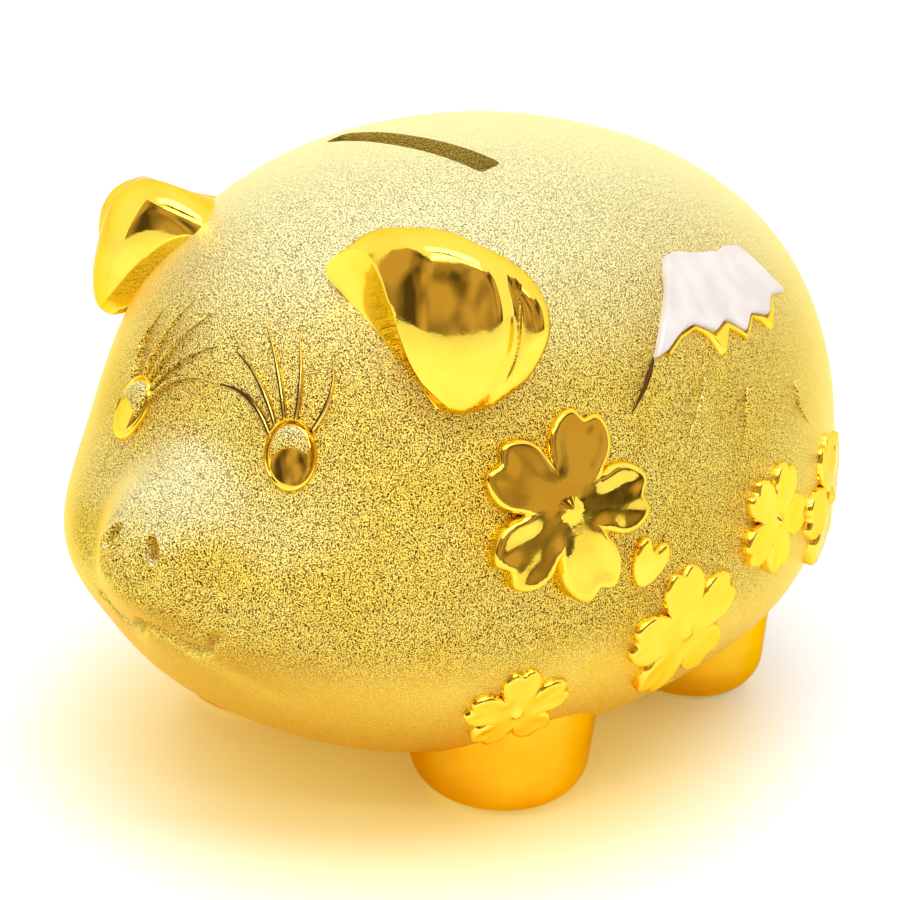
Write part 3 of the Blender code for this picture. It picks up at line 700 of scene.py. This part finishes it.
def make_eyes(look, frosted, shaded):
    """Ringed eyes with frosted lids; the left side's lashes are gold with painted shade on their flanks,
    the right side's are frosted like the body.
    """
    both_sides("eye", EYE_PLACE, lambda seat: relief(seat, eye_outline(), eye_height, EYE_RINGS), look,
               body_shift=0.0)
    middle = turned(LID_MIDDLE[None], EYE_TILT)[0]

    def lid_height(points, distance):
        return (eye_dome(points + middle) + LID_HEIGHT) * round_edge(distance, LID_EDGE)
    both_sides("eyelid", EYE_PLACE, lambda seat: relief(seat, eyelid_outline(), lid_height), frosted,
               nodes="eye", shift=middle, body_shift=0.0)
    for number, path in enumerate(LASHES, start=1):
        curve = curve_through(path, 26)
        both_sides(f"lash_{number}", EYE_PLACE, lambda seat: stroke(seat, curve, LASH_WIDTH, LASH_HEIGHT),
                   (shaded, frosted), nodes="eye", body_shift=0.0)


def make_mountain(snow_look, gold_look, shaded, frosted):
    """A snow cap with a gold rock line under its teeth, the left slope and three ridges."""
    outline = split_runs(np.array(SNOW_TOP + SNOW_TEETH) - SNOW_MIDDLE, True)
    outline = (np.roll(outline, 1, axis=0) + 2.0 * outline + np.roll(outline, -1, axis=0)) / 4.0

    def height(points, distance):
        return SNOW_HEIGHT * round_edge(distance, SNOW_EDGE)
    both_sides("snow_cap", MOUNTAIN_PLACE, lambda seat: relief(seat, outline, height), snow_look,
               shift=SNOW_MIDDLE)

    teeth = split_runs(np.array(SNOW_TEETH), False)
    upper = teeth - (0.0, ROCK_GAP)
    drops = np.full(len(teeth), 0.6)
    for place, more in DRIPS:
        drops += more * np.exp(-((teeth[:, 0] - place) / DRIP_HALF_WIDTH) ** 2)
    lower = upper - np.stack((np.zeros(len(teeth)), ROCK_DROP * drops), axis=1)
    both_sides("mountain_rock", MOUNTAIN_PLACE, lambda seat: ribbon(seat, upper, lower, ROCK_HEIGHT),
               gold_look)

    strokes = {"mountain_slope": curve_through(SLOPE, 20)}
    for number, path in enumerate(RIDGES, start=1):
        strokes[f"ridge_{number}"] = curve_through(path, 26)
    for name, path in strokes.items():
        # The slope line gets the gold with painted shade, dark along most of its length; the ridges are
        # frosted.
        width, ridge_look = (SLOPE_WIDTH, shaded) if name == "mountain_slope" else (RIDGE_WIDTH, frosted)
        both_sides(name, MOUNTAIN_PLACE, lambda seat: stroke(seat, path, width, RIDGE_HEIGHT), ridge_look)


# ---- Ears, feet and tail ----
def ear_depth(places, outline):
    """How far the ear's front stands out at (across, up): a dome with a scooped inner edge."""
    across, up = places.T
    rise = np.clip((up - EAR_DOME_FLOOR) / (EAR_DOME_TOP - EAR_DOME_FLOOR), 0.0, 0.98)
    depth = EAR_FRONT - EAR_DOME_DEPTH * (1.0 - np.sqrt(1.0 - rise ** 2))
    depth -= EAR_LOW_CURVE * np.clip(EAR_DOME_FLOOR - up, 0.0, None) ** 2
    depth -= EAR_INNER_DROP * ease((EAR_INNER_START - across) / EAR_INNER_RUN)
    depth -= EAR_SIDE_CURVE * np.clip(across - EAR_SIDE_START, 0.0, EAR_SIDE_RUN) ** 2
    beyond = across - COLLAR_PLACE + COLLAR_BOW * up ** 2
    depth -= COLLAR_GROOVE * np.exp(-(beyond / COLLAR_GROOVE_WIDTH) ** 2)
    depth -= COLLAR_STEP * ease((beyond + 0.0005) / 0.0016)
    distance, along = line_distance(places, SCOOP_EDGE)
    share = np.clip(distance / blend(*SCOOP_WIDTH, ease((along - 0.3) / 0.5)), 0.0, 1.0)
    scooped = SCOOP_DEPTH * (1.0 - share ** 1.6) * (1.0 - 0.6 * ease((along - 0.7) / 0.3))
    rounded = EAR_EDGE_RADIUS * (1.0 - round_edge(edge_distance(places, outline), EAR_EDGE_RADIUS))
    return depth - np.maximum(scooped, rounded)


def ear_points(places, depth, turn, middle):
    """World points of (across, up) places on the ear's own plane, stood out by `depth`."""
    across = np.array((math.cos(turn), math.sin(turn), 0.0))
    outward = np.array((math.sin(turn), -math.cos(turn), 0.0))
    depth = np.broadcast_to(depth, len(places))
    return middle + places[:, :1] * across + places[:, 1:2] * UP + depth[:, None] * outward


def ear_form(reach, turn, roll, middle):
    """A closed ear: rings out from the root in the head, then over the front to its centre."""
    outline = smooth_loop(EAR_OUTLINE, 24)
    centre = np.array(EAR_CENTRE)
    inward = unit(centre - outline)
    inset = blend(*EAR_ROOT_INSET[:2], ease(outline[:, 0] / EAR_OUTER_END))
    inset = np.maximum(inset, EAR_ROOT_INSET[2] * ease(outline[:, 1] / 0.010))
    rings = []
    front = ear_depth(outline, outline)
    root = outline + inward * inset[:, None]
    for share in np.linspace(0.0, 1.0, 6)[:-1]:
        rings.append((blend(root, outline, share), blend(-EAR_DEPTH, front, share)))
    for share in np.linspace(1.0, 0.0, 64)[:-1] ** 0.85:
        places = centre + (outline - centre) * share
        rings.append((places, ear_depth(places, outline)))
    shaped = []
    for places, depth in rings:
        inner = places[:, 0] < 0.0
        moved = np.stack((np.where(inner, places[:, 0] * reach, places[:, 0]), places[:, 1]), axis=1)
        shaped.append(ear_points(turned(moved, roll), depth, turn, middle))
    return ring_form(shaped)


def make_ears(look):
    right_middle = EAR_MIDDLE + EAR_RIGHT_SHIFT
    forms = (ear_form(1.0, EAR_TURN, 0.0, EAR_MIDDLE),
             ear_form(EAR_RIGHT_REACH, EAR_RIGHT_TURN, EAR_RIGHT_ROLL, right_middle))
    for side, form in zip(SIDES, forms):
        ear = sided_object("ear", side, form)
        trim_to_body(ear, 70.0)
        dress(ear, look, "ear_" + side)


def foot_form(centre, radius_top, radius_sole):
    """A foot from its flat sole over a rounded edge up into the belly."""
    centre = (centre[0], MIDDLE[1] + centre[1])
    rings = [circle((radius_sole - FOOT_EDGE) * share, 0.0, centre, 64) for share in (0.3, 0.8)]
    for step in range(13):
        angle = step * math.pi / 24.0
        radius = radius_sole - FOOT_EDGE * (1.0 - math.sin(angle))
        rings.append(circle(radius, FOOT_EDGE * (1.0 - math.cos(angle)), centre, 64))
    for share in (0.33, 0.66, 1.0):
        radius = blend(radius_sole, radius_top, share)
        rings.append(circle(radius, blend(FOOT_EDGE, FOOT_TOP_Z, share), centre, 64))
    return ring_form(rings)


def make_feet(look):
    for name, (centre, radius_top, radius_sole) in FEET.items():
        for side in SIDES:
            foot = sided_object(f"foot_{name}", side, foot_form(centre, radius_top, radius_sole))
            trim_to_body(foot, 50.0)
            dress(foot, look, f"foot_{name}_{side}")


def make_tail(look):
    """A curled rope that thins to a rounded tip."""
    seat = Seat(TAIL_PLACE)
    shares = np.linspace(0.0, 1.0, 60)
    angles = np.radians(blend(*TAIL_SWEEP, shares))
    curl = TAIL_RADIUS * (1.0 - 0.5 * shares)[:, None] * np.stack((np.cos(angles), np.sin(angles)), axis=1)
    path = seat.wrap(curl, blend(-TAIL_LIFT, TAIL_LIFT, ease(4.0 * shares)))
    ways = unit(np.gradient(path, axis=0))
    turns = np.arange(20) * math.pi / 10.0
    rings = []
    for point, way, share in zip(path, ways, shares):
        side = unit(np.cross(way, seat.normal))
        lift = np.cross(side, way)
        tip = math.sqrt(min((1.0 - share) / 0.05 + 0.02, 1.0))
        thick = TAIL_THICKNESS * (1.0 - 0.55 * share ** 2) * tip
        rings.append(point + thick * (np.cos(turns)[:, None] * side + np.sin(turns)[:, None] * lift))
    tail = mesh_object("fine_tail", ring_form(rings))
    trim_to_body(tail, 60.0)
    dress(tail, look, "tail")


def make_stopper(look):
    """The plug, with a rounded flange, a recessed pull tab and two grip ribs."""
    low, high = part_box("stopper")
    centre = ((low.x + high.x) / 2.0, (low.y + high.y) / 2.0)
    flange = (high.x - low.x) / 2.0
    neck = flange - NECK_INSET
    bottom, top = low.z, high.z
    profile = [(RECESS_RADIUS, bottom + RECESS_DEPTH), (RECESS_RADIUS + 0.0001, bottom + 0.0002),
               (RECESS_RADIUS + 0.0004, bottom)]
    for step in range(7):
        angle = step * math.pi / 12.0
        profile.append((flange - FLANGE_EDGE * (1.0 - math.sin(angle)),
                        bottom + FLANGE_EDGE * (1.0 - math.cos(angle))))
    profile += [(flange, bottom + FLANGE_HEIGHT), (neck, bottom + FLANGE_HEIGHT + 0.0001)]
    for step in range(9):
        share = step / 8.0
        rib = RIB_HEIGHT * math.cos(2.0 * math.pi * 2.0 * share)
        profile.append((neck - 0.0002 - 0.0006 * share + rib, blend(bottom + 0.0022, top - 0.0008, share)))
    profile += [(neck - 0.0012, top - 0.0002), (neck - 0.0018, top)]
    form = ring_form([circle(radius, height, centre, 72) for radius, height in profile])
    stopper = mesh_object("fine_stopper", form, 40.0)
    tab = bmesh.new()
    bmesh.ops.create_cube(tab, size=1.0)
    for vert in tab.verts:
        vert.co = np.array((*centre, bottom + TAB_LIFT)) + np.array(vert.co) * TAB_SIZE
    bmesh.ops.bevel(tab, geom=tab.edges[:], offset=TAB_EDGE, segments=3, affect="EDGES", profile=0.5)
    carve(stopper, mesh_object("tab", tab), 40.0, "UNION")
    dress(stopper, look, "stopper", "stopper")


# ---- Materials ----
class Look:
    """A Principled material with a small toolbox for its procedural nodes."""

    def __init__(self, name, metallic, roughness, colour):
        self.material = bpy.data.materials.new(name)
        self.material.use_nodes = True
        self.tree = self.material.node_tree
        self.shader = self.tree.nodes["Principled BSDF"]
        self.shader.inputs["Metallic"].default_value = metallic
        self.shader.inputs["Roughness"].default_value = roughness
        self.shader.inputs["Base Color"].default_value = (*colour, 1.0)
        self.place = self.tree.nodes.new("ShaderNodeTexCoord").outputs["Object"]

    def link(self, output, target):
        self.tree.links.new(output, target)

    def feed(self, socket, output):
        """Link an output to one of the shader's sockets."""
        self.link(output, self.shader.inputs[socket])

    def noise(self, size, detail=2.0, roughness=0.5):
        """Noise whose features are about `size` metres across."""
        node = self.tree.nodes.new("ShaderNodeTexNoise")
        self.link(self.place, node.inputs["Vector"])
        node.inputs["Scale"].default_value = 1.0 / size
        node.inputs["Detail"].default_value = detail
        node.inputs["Roughness"].default_value = roughness
        return node.outputs["Fac"]

    def spread(self, value, low, high, to_low=0.0, to_high=1.0):
        """A smooth step of the value, from to_low at `low` to to_high at `high`."""
        node = self.tree.nodes.new("ShaderNodeMapRange")
        node.interpolation_type = "SMOOTHSTEP"
        self.link(value, node.inputs["Value"])
        limits = {"From Min": low, "From Max": high, "To Min": to_low, "To Max": to_high}
        for socket, number in limits.items():
            node.inputs[socket].default_value = number
        return node.outputs["Result"]

    def combine(self, first, second, operation="ADD"):
        """A Math node; each value is a number or another node's output."""
        node = self.tree.nodes.new("ShaderNodeMath")
        node.operation = operation
        for socket, value in zip(node.inputs, (first, second)):
            if isinstance(value, float):
                socket.default_value = value
            else:
                self.link(value, socket)
        return node.outputs["Value"]

    def mix(self, factor, first, second):
        """A colour between two, each a constant or another node's output."""
        node = self.tree.nodes.new("ShaderNodeMix")
        node.data_type = "RGBA"
        self.link(factor, node.inputs["Factor"])
        for socket, value in ((node.inputs[6], first), (node.inputs[7], second)):
            if isinstance(value, tuple):
                socket.default_value = (*value, 1.0)
            else:
                self.link(value, socket)
        return node.outputs[2]

    def part(self, vector, axis):
        split = self.tree.nodes.new("ShaderNodeSeparateXYZ")
        self.link(vector, split.inputs["Vector"])
        return split.outputs[axis]

    def normal(self, axis):
        """One axis of the surface's world normal."""
        return self.part(self.tree.nodes.new("ShaderNodeNewGeometry").outputs["Normal"], axis)

    def position(self, axis):
        """One axis of the place in the frame; Z is the height above the floor."""
        return self.part(self.place, axis)

    def edge_on(self):
        """0 where the surface is seen face on, 1 where it is seen edge on."""
        return self.tree.nodes.new("ShaderNodeLayerWeight").outputs["Facing"]

    def bump(self, value, depth, onto=None):
        """Small waves `depth` high, on top of another bump's normal if one is given."""
        node = self.tree.nodes.new("ShaderNodeBump")
        node.inputs["Strength"].default_value = 1.0
        node.inputs["Distance"].default_value = depth
        self.link(value, node.inputs["Height"])
        if onto is not None:
            self.link(onto, node.inputs["Normal"])
        self.feed("Normal", node.outputs["Normal"])
        return node.outputs["Normal"]


def frosted_gold():
    """Sand-textured gold: bright facets between dark pits, with a painted highlight (paler colour and
    lighter pits) where it faces up, painted shade where it faces down and painted light where it faces the
    back.
    """
    look = Look("frosted_gold", 1.0, 0.3, (0.93, 0.68, 0.16))
    look.shader.inputs["Specular Tint"].default_value = (0.95, 0.80, 0.42, 1.0)
    grain = look.noise(0.00023, 1.5, 0.6)
    patches = look.noise(0.012, 3.0)
    # Painted highlight: paler colour and lighter pits where the surface faces up, for the overhead light's
    # reflection.
    painted_top_highlight = look.spread(look.normal("Z"), 0.30, 0.95)
    edges = look.spread(look.edge_on(), 0.45, 0.85)
    belly = look.spread(look.position("Z"), 0.030, 0.042, 1.0, 0.0)
    smooth = look.combine(edges, belly, "MAXIMUM")
    # Painted shade: a darker, more orange colour where the surface faces down.
    under = look.spread(look.normal("Z"), -0.75, -0.15, 1.0, 0.0)
    colour = look.mix(look.spread(patches, 0.35, 0.65), (0.97, 0.71, 0.11), (0.99, 0.77, 0.16))
    # Painted light: a brighter colour and lighter pits where the surface faces the back.
    rear = look.spread(look.normal("Y"), -0.25, 0.45)
    colour = look.mix(rear, colour, (1.0, 0.83, 0.24))
    colour = look.mix(under, colour, (0.80, 0.55, 0.09))
    colour = look.mix(painted_top_highlight, colour, (1.0, 0.97, 0.58))
    pits = look.mix(painted_top_highlight, (0.08, 0.030, 0.003), (0.36, 0.26, 0.08))
    pits = look.mix(rear, pits, (0.46, 0.30, 0.08))
    pits = look.mix(smooth, pits, colour)
    colour = look.mix(look.spread(grain, 0.42, 0.50), pits, colour)
    look.feed("Base Color", colour)
    look.feed("Roughness", look.spread(grain, 0.35, 0.65, 0.34, 0.22))
    look.bump(grain, 0.00032)
    return look.material


def bright_gold():
    look = Look("bright_gold", 1.0, 0.07, (0.94, 0.68, 0.07))
    look.shader.inputs["Specular Tint"].default_value = (0.95, 0.78, 0.36, 1.0)
    patches = look.noise(0.009, 3.0)
    colour = look.mix(look.spread(patches, 0.35, 0.65), (0.93, 0.65, 0.06), (0.96, 0.71, 0.08))
    look.feed("Base Color", colour)
    smears = look.noise(0.004, 4.0, 0.6)
    look.feed("Roughness", look.spread(smears, 0.35, 0.70, 0.05, 0.12))
    waves = look.bump(look.noise(0.0045, 1.0), 0.00006)
    look.bump(look.noise(0.0006, 2.0), 0.000004, waves)
    return look.material


def shaded_gold(name, low, high):
    """Gold of the fine raised lines with painted shade: dark on flanks whose normal's x is below `low`."""
    look = Look(name, 1.0, 0.25, (0.60, 0.36, 0.06))
    patches = look.combine(look.noise(0.0011, 3.0), 0.3, "MULTIPLY")
    # Painted shade: the colour turns dark on flanks turned away from +X.
    lit = look.spread(look.combine(look.normal("X"), patches), low, high)
    colour = look.mix(lit, (0.08, 0.035, 0.01), (0.95, 0.72, 0.18))
    look.feed("Base Color", colour)
    look.feed("Roughness", look.spread(lit, 0.0, 1.0, 0.45, 0.22))
    look.bump(look.noise(0.0005, 2.0), 0.00005)
    return look.material


def white_glaze():
    look = Look("white_glaze", 0.0, 0.10, (0.66, 0.61, 0.58))
    patches = look.noise(0.006, 2.0)
    colour = look.mix(look.spread(patches, 0.35, 0.65), (0.58, 0.52, 0.48), (0.65, 0.59, 0.55))
    look.feed("Base Color", colour)
    look.feed("Roughness", look.spread(patches, 0.3, 0.7, 0.07, 0.16))
    look.bump(look.noise(0.0035, 2.0), 0.00004)
    return look.material


def foot_gold():
    """Polished gold, darker than the ears' gold as painted shade, that ends a millimetre above the floor,
    where the ceramic is bare.
    """
    look = Look("foot_gold", 1.0, 0.07, (0.92, 0.58, 0.03))
    look.shader.inputs["Specular Tint"].default_value = (0.95, 0.74, 0.30, 1.0)
    ragged = look.combine(look.noise(0.002, 3.0), 0.0006, "MULTIPLY")
    height = look.combine(look.position("Z"), ragged, "SUBTRACT")
    plated = look.spread(height, 0.0009, 0.0011)
    patches = look.noise(0.009, 3.0)
    # Painted shade: the feet's gold is darker and more orange than the bright gold of the ears and tail.
    gold = look.mix(look.spread(patches, 0.35, 0.65), (0.82, 0.44, 0.015), (0.87, 0.51, 0.02))
    look.feed("Base Color", look.mix(plated, (0.84, 0.81, 0.80), gold))
    look.feed("Metallic", plated)
    look.feed("Roughness", look.spread(plated, 0.0, 1.0, 0.6, 0.09))
    look.bump(look.noise(0.0045, 1.0), 0.00006)
    return look.material


def grey_rubber():
    look = Look("grey_rubber", 0.0, 0.7, (0.55, 0.53, 0.50))
    patches = look.noise(0.004, 3.0)
    colour = look.mix(look.spread(patches, 0.3, 0.7), (0.50, 0.48, 0.45), (0.60, 0.58, 0.55))
    look.feed("Base Color", colour)
    look.feed("Roughness", look.spread(patches, 0.3, 0.7, 0.6, 0.8))
    look.bump(look.noise(0.0004, 2.0), 0.00003)
    return look.material


# ---- Studio ----
CAMERA_AZIMUTH = math.radians(36.2)
CAMERA_ELEVATION = math.radians(18.5)
CAMERA_ROLL = math.radians(2.8)
CAMERA_DISTANCE = 0.396
CAMERA_SIDESTEP = (-0.0022, 0.0018)
CAMERA_LENS = 86.5
WORLD_STRENGTH = 1.15
LIGHT_DISTANCE = 1.2
LIGHT_RADIANCE = 5.0
CARD_RADIUS = 1.3
ROOM_COLOURS = ((0.09, 0.06, 0.05), (0.62, 0.42, 0.30))
FLOOR_SIZE = 8.0
FLOOR_WHITE = (0.88, 0.88, 0.88)
# painted glow: the floor's base colour near the bank
FLOOR_PAINTED_GLOW = (0.86, 0.68, 0.26)
GLOW_COLOUR = (1.0, 0.74, 0.12)
GLOW_STRENGTH = 0.27
GLOW_MIDDLE = -0.010            # Y of the gold light's middle on the floor
GLOW_REACH = (0.080, 0.084)     # along X and along Y


def camera_axes():
    """Unit vectors of the view: to its right, up, and back towards the camera."""
    sin_a, cos_a = math.sin(CAMERA_AZIMUTH), math.cos(CAMERA_AZIMUTH)
    sin_e, cos_e = math.sin(CAMERA_ELEVATION), math.cos(CAMERA_ELEVATION)
    back = np.array((sin_a * cos_e, -cos_a * cos_e, sin_e))
    level = np.array((cos_a, sin_a, 0.0))
    upright = np.cross(back, level)
    sin_r, cos_r = math.sin(CAMERA_ROLL), math.cos(CAMERA_ROLL)
    return level * cos_r + upright * sin_r, upright * cos_r - level * sin_r, back


def make_camera():
    """The photograph's viewpoint, aimed just beside the body's middle."""
    right, up, back = camera_axes()
    data = bpy.data.cameras.new("camera")
    data.lens = CAMERA_LENS
    data.sensor_width = 36.0
    data.clip_start = 0.01
    camera = bpy.data.objects.new("camera", data)
    bpy.context.scene.collection.objects.link(camera)
    place = MIDDLE + back * CAMERA_DISTANCE + right * CAMERA_SIDESTEP[0] + up * CAMERA_SIDESTEP[1]
    turn = Matrix((right, up, back)).transposed().to_4x4()
    camera.matrix_world = Matrix.Translation(place) @ turn
    bpy.context.scene.camera = camera


def softbox(name, azimuth, elevation, width, depth):
    """A rectangular light at a bearing from the pig, facing it."""
    data = bpy.data.lights.new(name, "AREA")
    data.shape = "RECTANGLE"
    data.size = width
    data.size_y = depth
    data.energy = LIGHT_RADIANCE * math.pi * width * depth
    light = bpy.data.objects.new(name, data)
    bpy.context.scene.collection.objects.link(light)
    a, e = math.radians(azimuth), math.radians(elevation)
    way = Vector((math.sin(a) * math.cos(e), -math.cos(a) * math.cos(e), math.sin(e)))
    turn = way.to_track_quat("Z", "Y").to_matrix().to_4x4()
    light.matrix_world = Matrix.Translation(Vector(MIDDLE) + way * LIGHT_DISTANCE) @ turn


def room(name):
    """A dim room beyond the studio, with softly mottled walls."""
    made = bpy.data.materials.new(name)
    made.use_nodes = True
    tree = made.node_tree
    tree.nodes.clear()
    place = tree.nodes.new("ShaderNodeTexCoord").outputs["Object"]
    noise = tree.nodes.new("ShaderNodeTexNoise")
    noise.inputs["Scale"].default_value = 1.7
    noise.inputs["Detail"].default_value = 1.0
    tree.links.new(place, noise.inputs["Vector"])
    ramp = tree.nodes.new("ShaderNodeValToRGB")
    tree.links.new(noise.outputs["Fac"], ramp.inputs["Fac"])
    ramp.color_ramp.elements[0].position = 0.38
    ramp.color_ramp.elements[1].position = 0.62
    for element, colour in zip(ramp.color_ramp.elements, ROOM_COLOURS):
        element.color = (*colour, 1.0)
    glow = tree.nodes.new("ShaderNodeEmission")
    tree.links.new(ramp.outputs["Color"], glow.inputs["Color"])
    out = tree.nodes.new("ShaderNodeOutputMaterial")
    tree.links.new(glow.outputs["Emission"], out.inputs["Surface"])
    return made


def make_card(name, azimuth, half_angle, low, high):
    """A curved card round the pig, seen only in reflections."""
    form = bmesh.new()
    rows = []
    for height in (low, high):
        row = []
        for step in range(17):
            angle = math.radians(azimuth + half_angle * (step / 8.0 - 1.0))
            place = (CARD_RADIUS * math.sin(angle), -CARD_RADIUS * math.cos(angle), height)
            row.append(form.verts.new(place))
        rows.append(row)
    for i in range(16):
        form.faces.new((rows[0][i], rows[0][i + 1], rows[1][i + 1], rows[1][i]))
    card = mesh_object(name, form)
    card.data.materials.append(room(name))
    card.visible_camera = False
    card.visible_diffuse = False
    card.visible_shadow = False


def floor_paper():
    """White paper, with a painted gold glow close to the bank (gold base colour and gold emission) that
    stands in for the light the belly throws on it.
    """
    look = Look("floor_paper", 0.0, 0.6, FLOOR_WHITE)
    across = look.combine(look.position("X"), GLOW_REACH[0], "DIVIDE")
    back = look.combine(look.position("Y"), GLOW_MIDDLE, "SUBTRACT")
    back = look.combine(back, GLOW_REACH[1], "DIVIDE")
    squares = [look.combine(share, share, "MULTIPLY") for share in (across, back)]
    near = look.spread(look.combine(*squares), 0.0, 1.0, 1.0, 0.0)
    # Painted light: gold base colour and gold emission near the bank.
    look.feed("Base Color", look.mix(near, FLOOR_WHITE, FLOOR_PAINTED_GLOW))
    look.shader.inputs["Emission Color"].default_value = (*GLOW_COLOUR, 1.0)
    look.feed("Emission Strength", look.combine(near, GLOW_STRENGTH, "MULTIPLY"))
    return look.material


def make_studio():
    """A white world, a white floor with a painted gold glow near the bank, two soft lights from above, and
    a dim room in the reflections.
    """
    bpy.context.scene.view_settings.view_transform = "Standard"
    world = bpy.data.worlds.new("studio")
    world.use_nodes = True
    background = world.node_tree.nodes["Background"]
    background.inputs["Color"].default_value = (1.0, 1.0, 1.0, 1.0)
    background.inputs["Strength"].default_value = WORLD_STRENGTH
    bpy.context.scene.world = world

    bpy.ops.mesh.primitive_plane_add(size=FLOOR_SIZE, location=(0.0, 0.0, 0.0))
    floor = bpy.context.object
    floor.name = "floor"
    floor.data.materials.append(floor_paper())

    softbox("light_high", 30.0, 69.0, 1.1, 0.34)
    softbox("light_front", 36.0, 50.0, 1.0, 0.12)
    make_card("dark_room", 34.0, 78.0, 0.07, 1.25)
    make_card("dark_gap", 30.0, 40.0, 1.85, 2.25)


def main():
    keep = set(frame["nodes"].values()) | set(frame["bodies"].values())
    for old in [thing for thing in bpy.data.objects if thing not in keep]:
        bpy.data.objects.remove(old, do_unlink=True)
    make_camera()
    make_studio()
    frosted, gold, white = frosted_gold(), bright_gold(), white_glaze()
    lash_painted_shade = shaded_gold("lash_painted_shade", 0.42, 0.78)
    # Painted shade: thresholds above the normal's reach keep the slope line mostly dark.
    slope_painted_shade = shaded_gold("slope_painted_shade", 1.1, 1.5)
    make_body(frosted)
    make_ears(gold)
    make_feet(foot_gold())
    make_tail(gold)
    make_stopper(grey_rubber())
    make_blossoms(gold)
    make_petal(gold)
    make_eyes(gold, frosted, lash_painted_shade)
    make_mountain(white, gold, slope_painted_shade, frosted)


main()
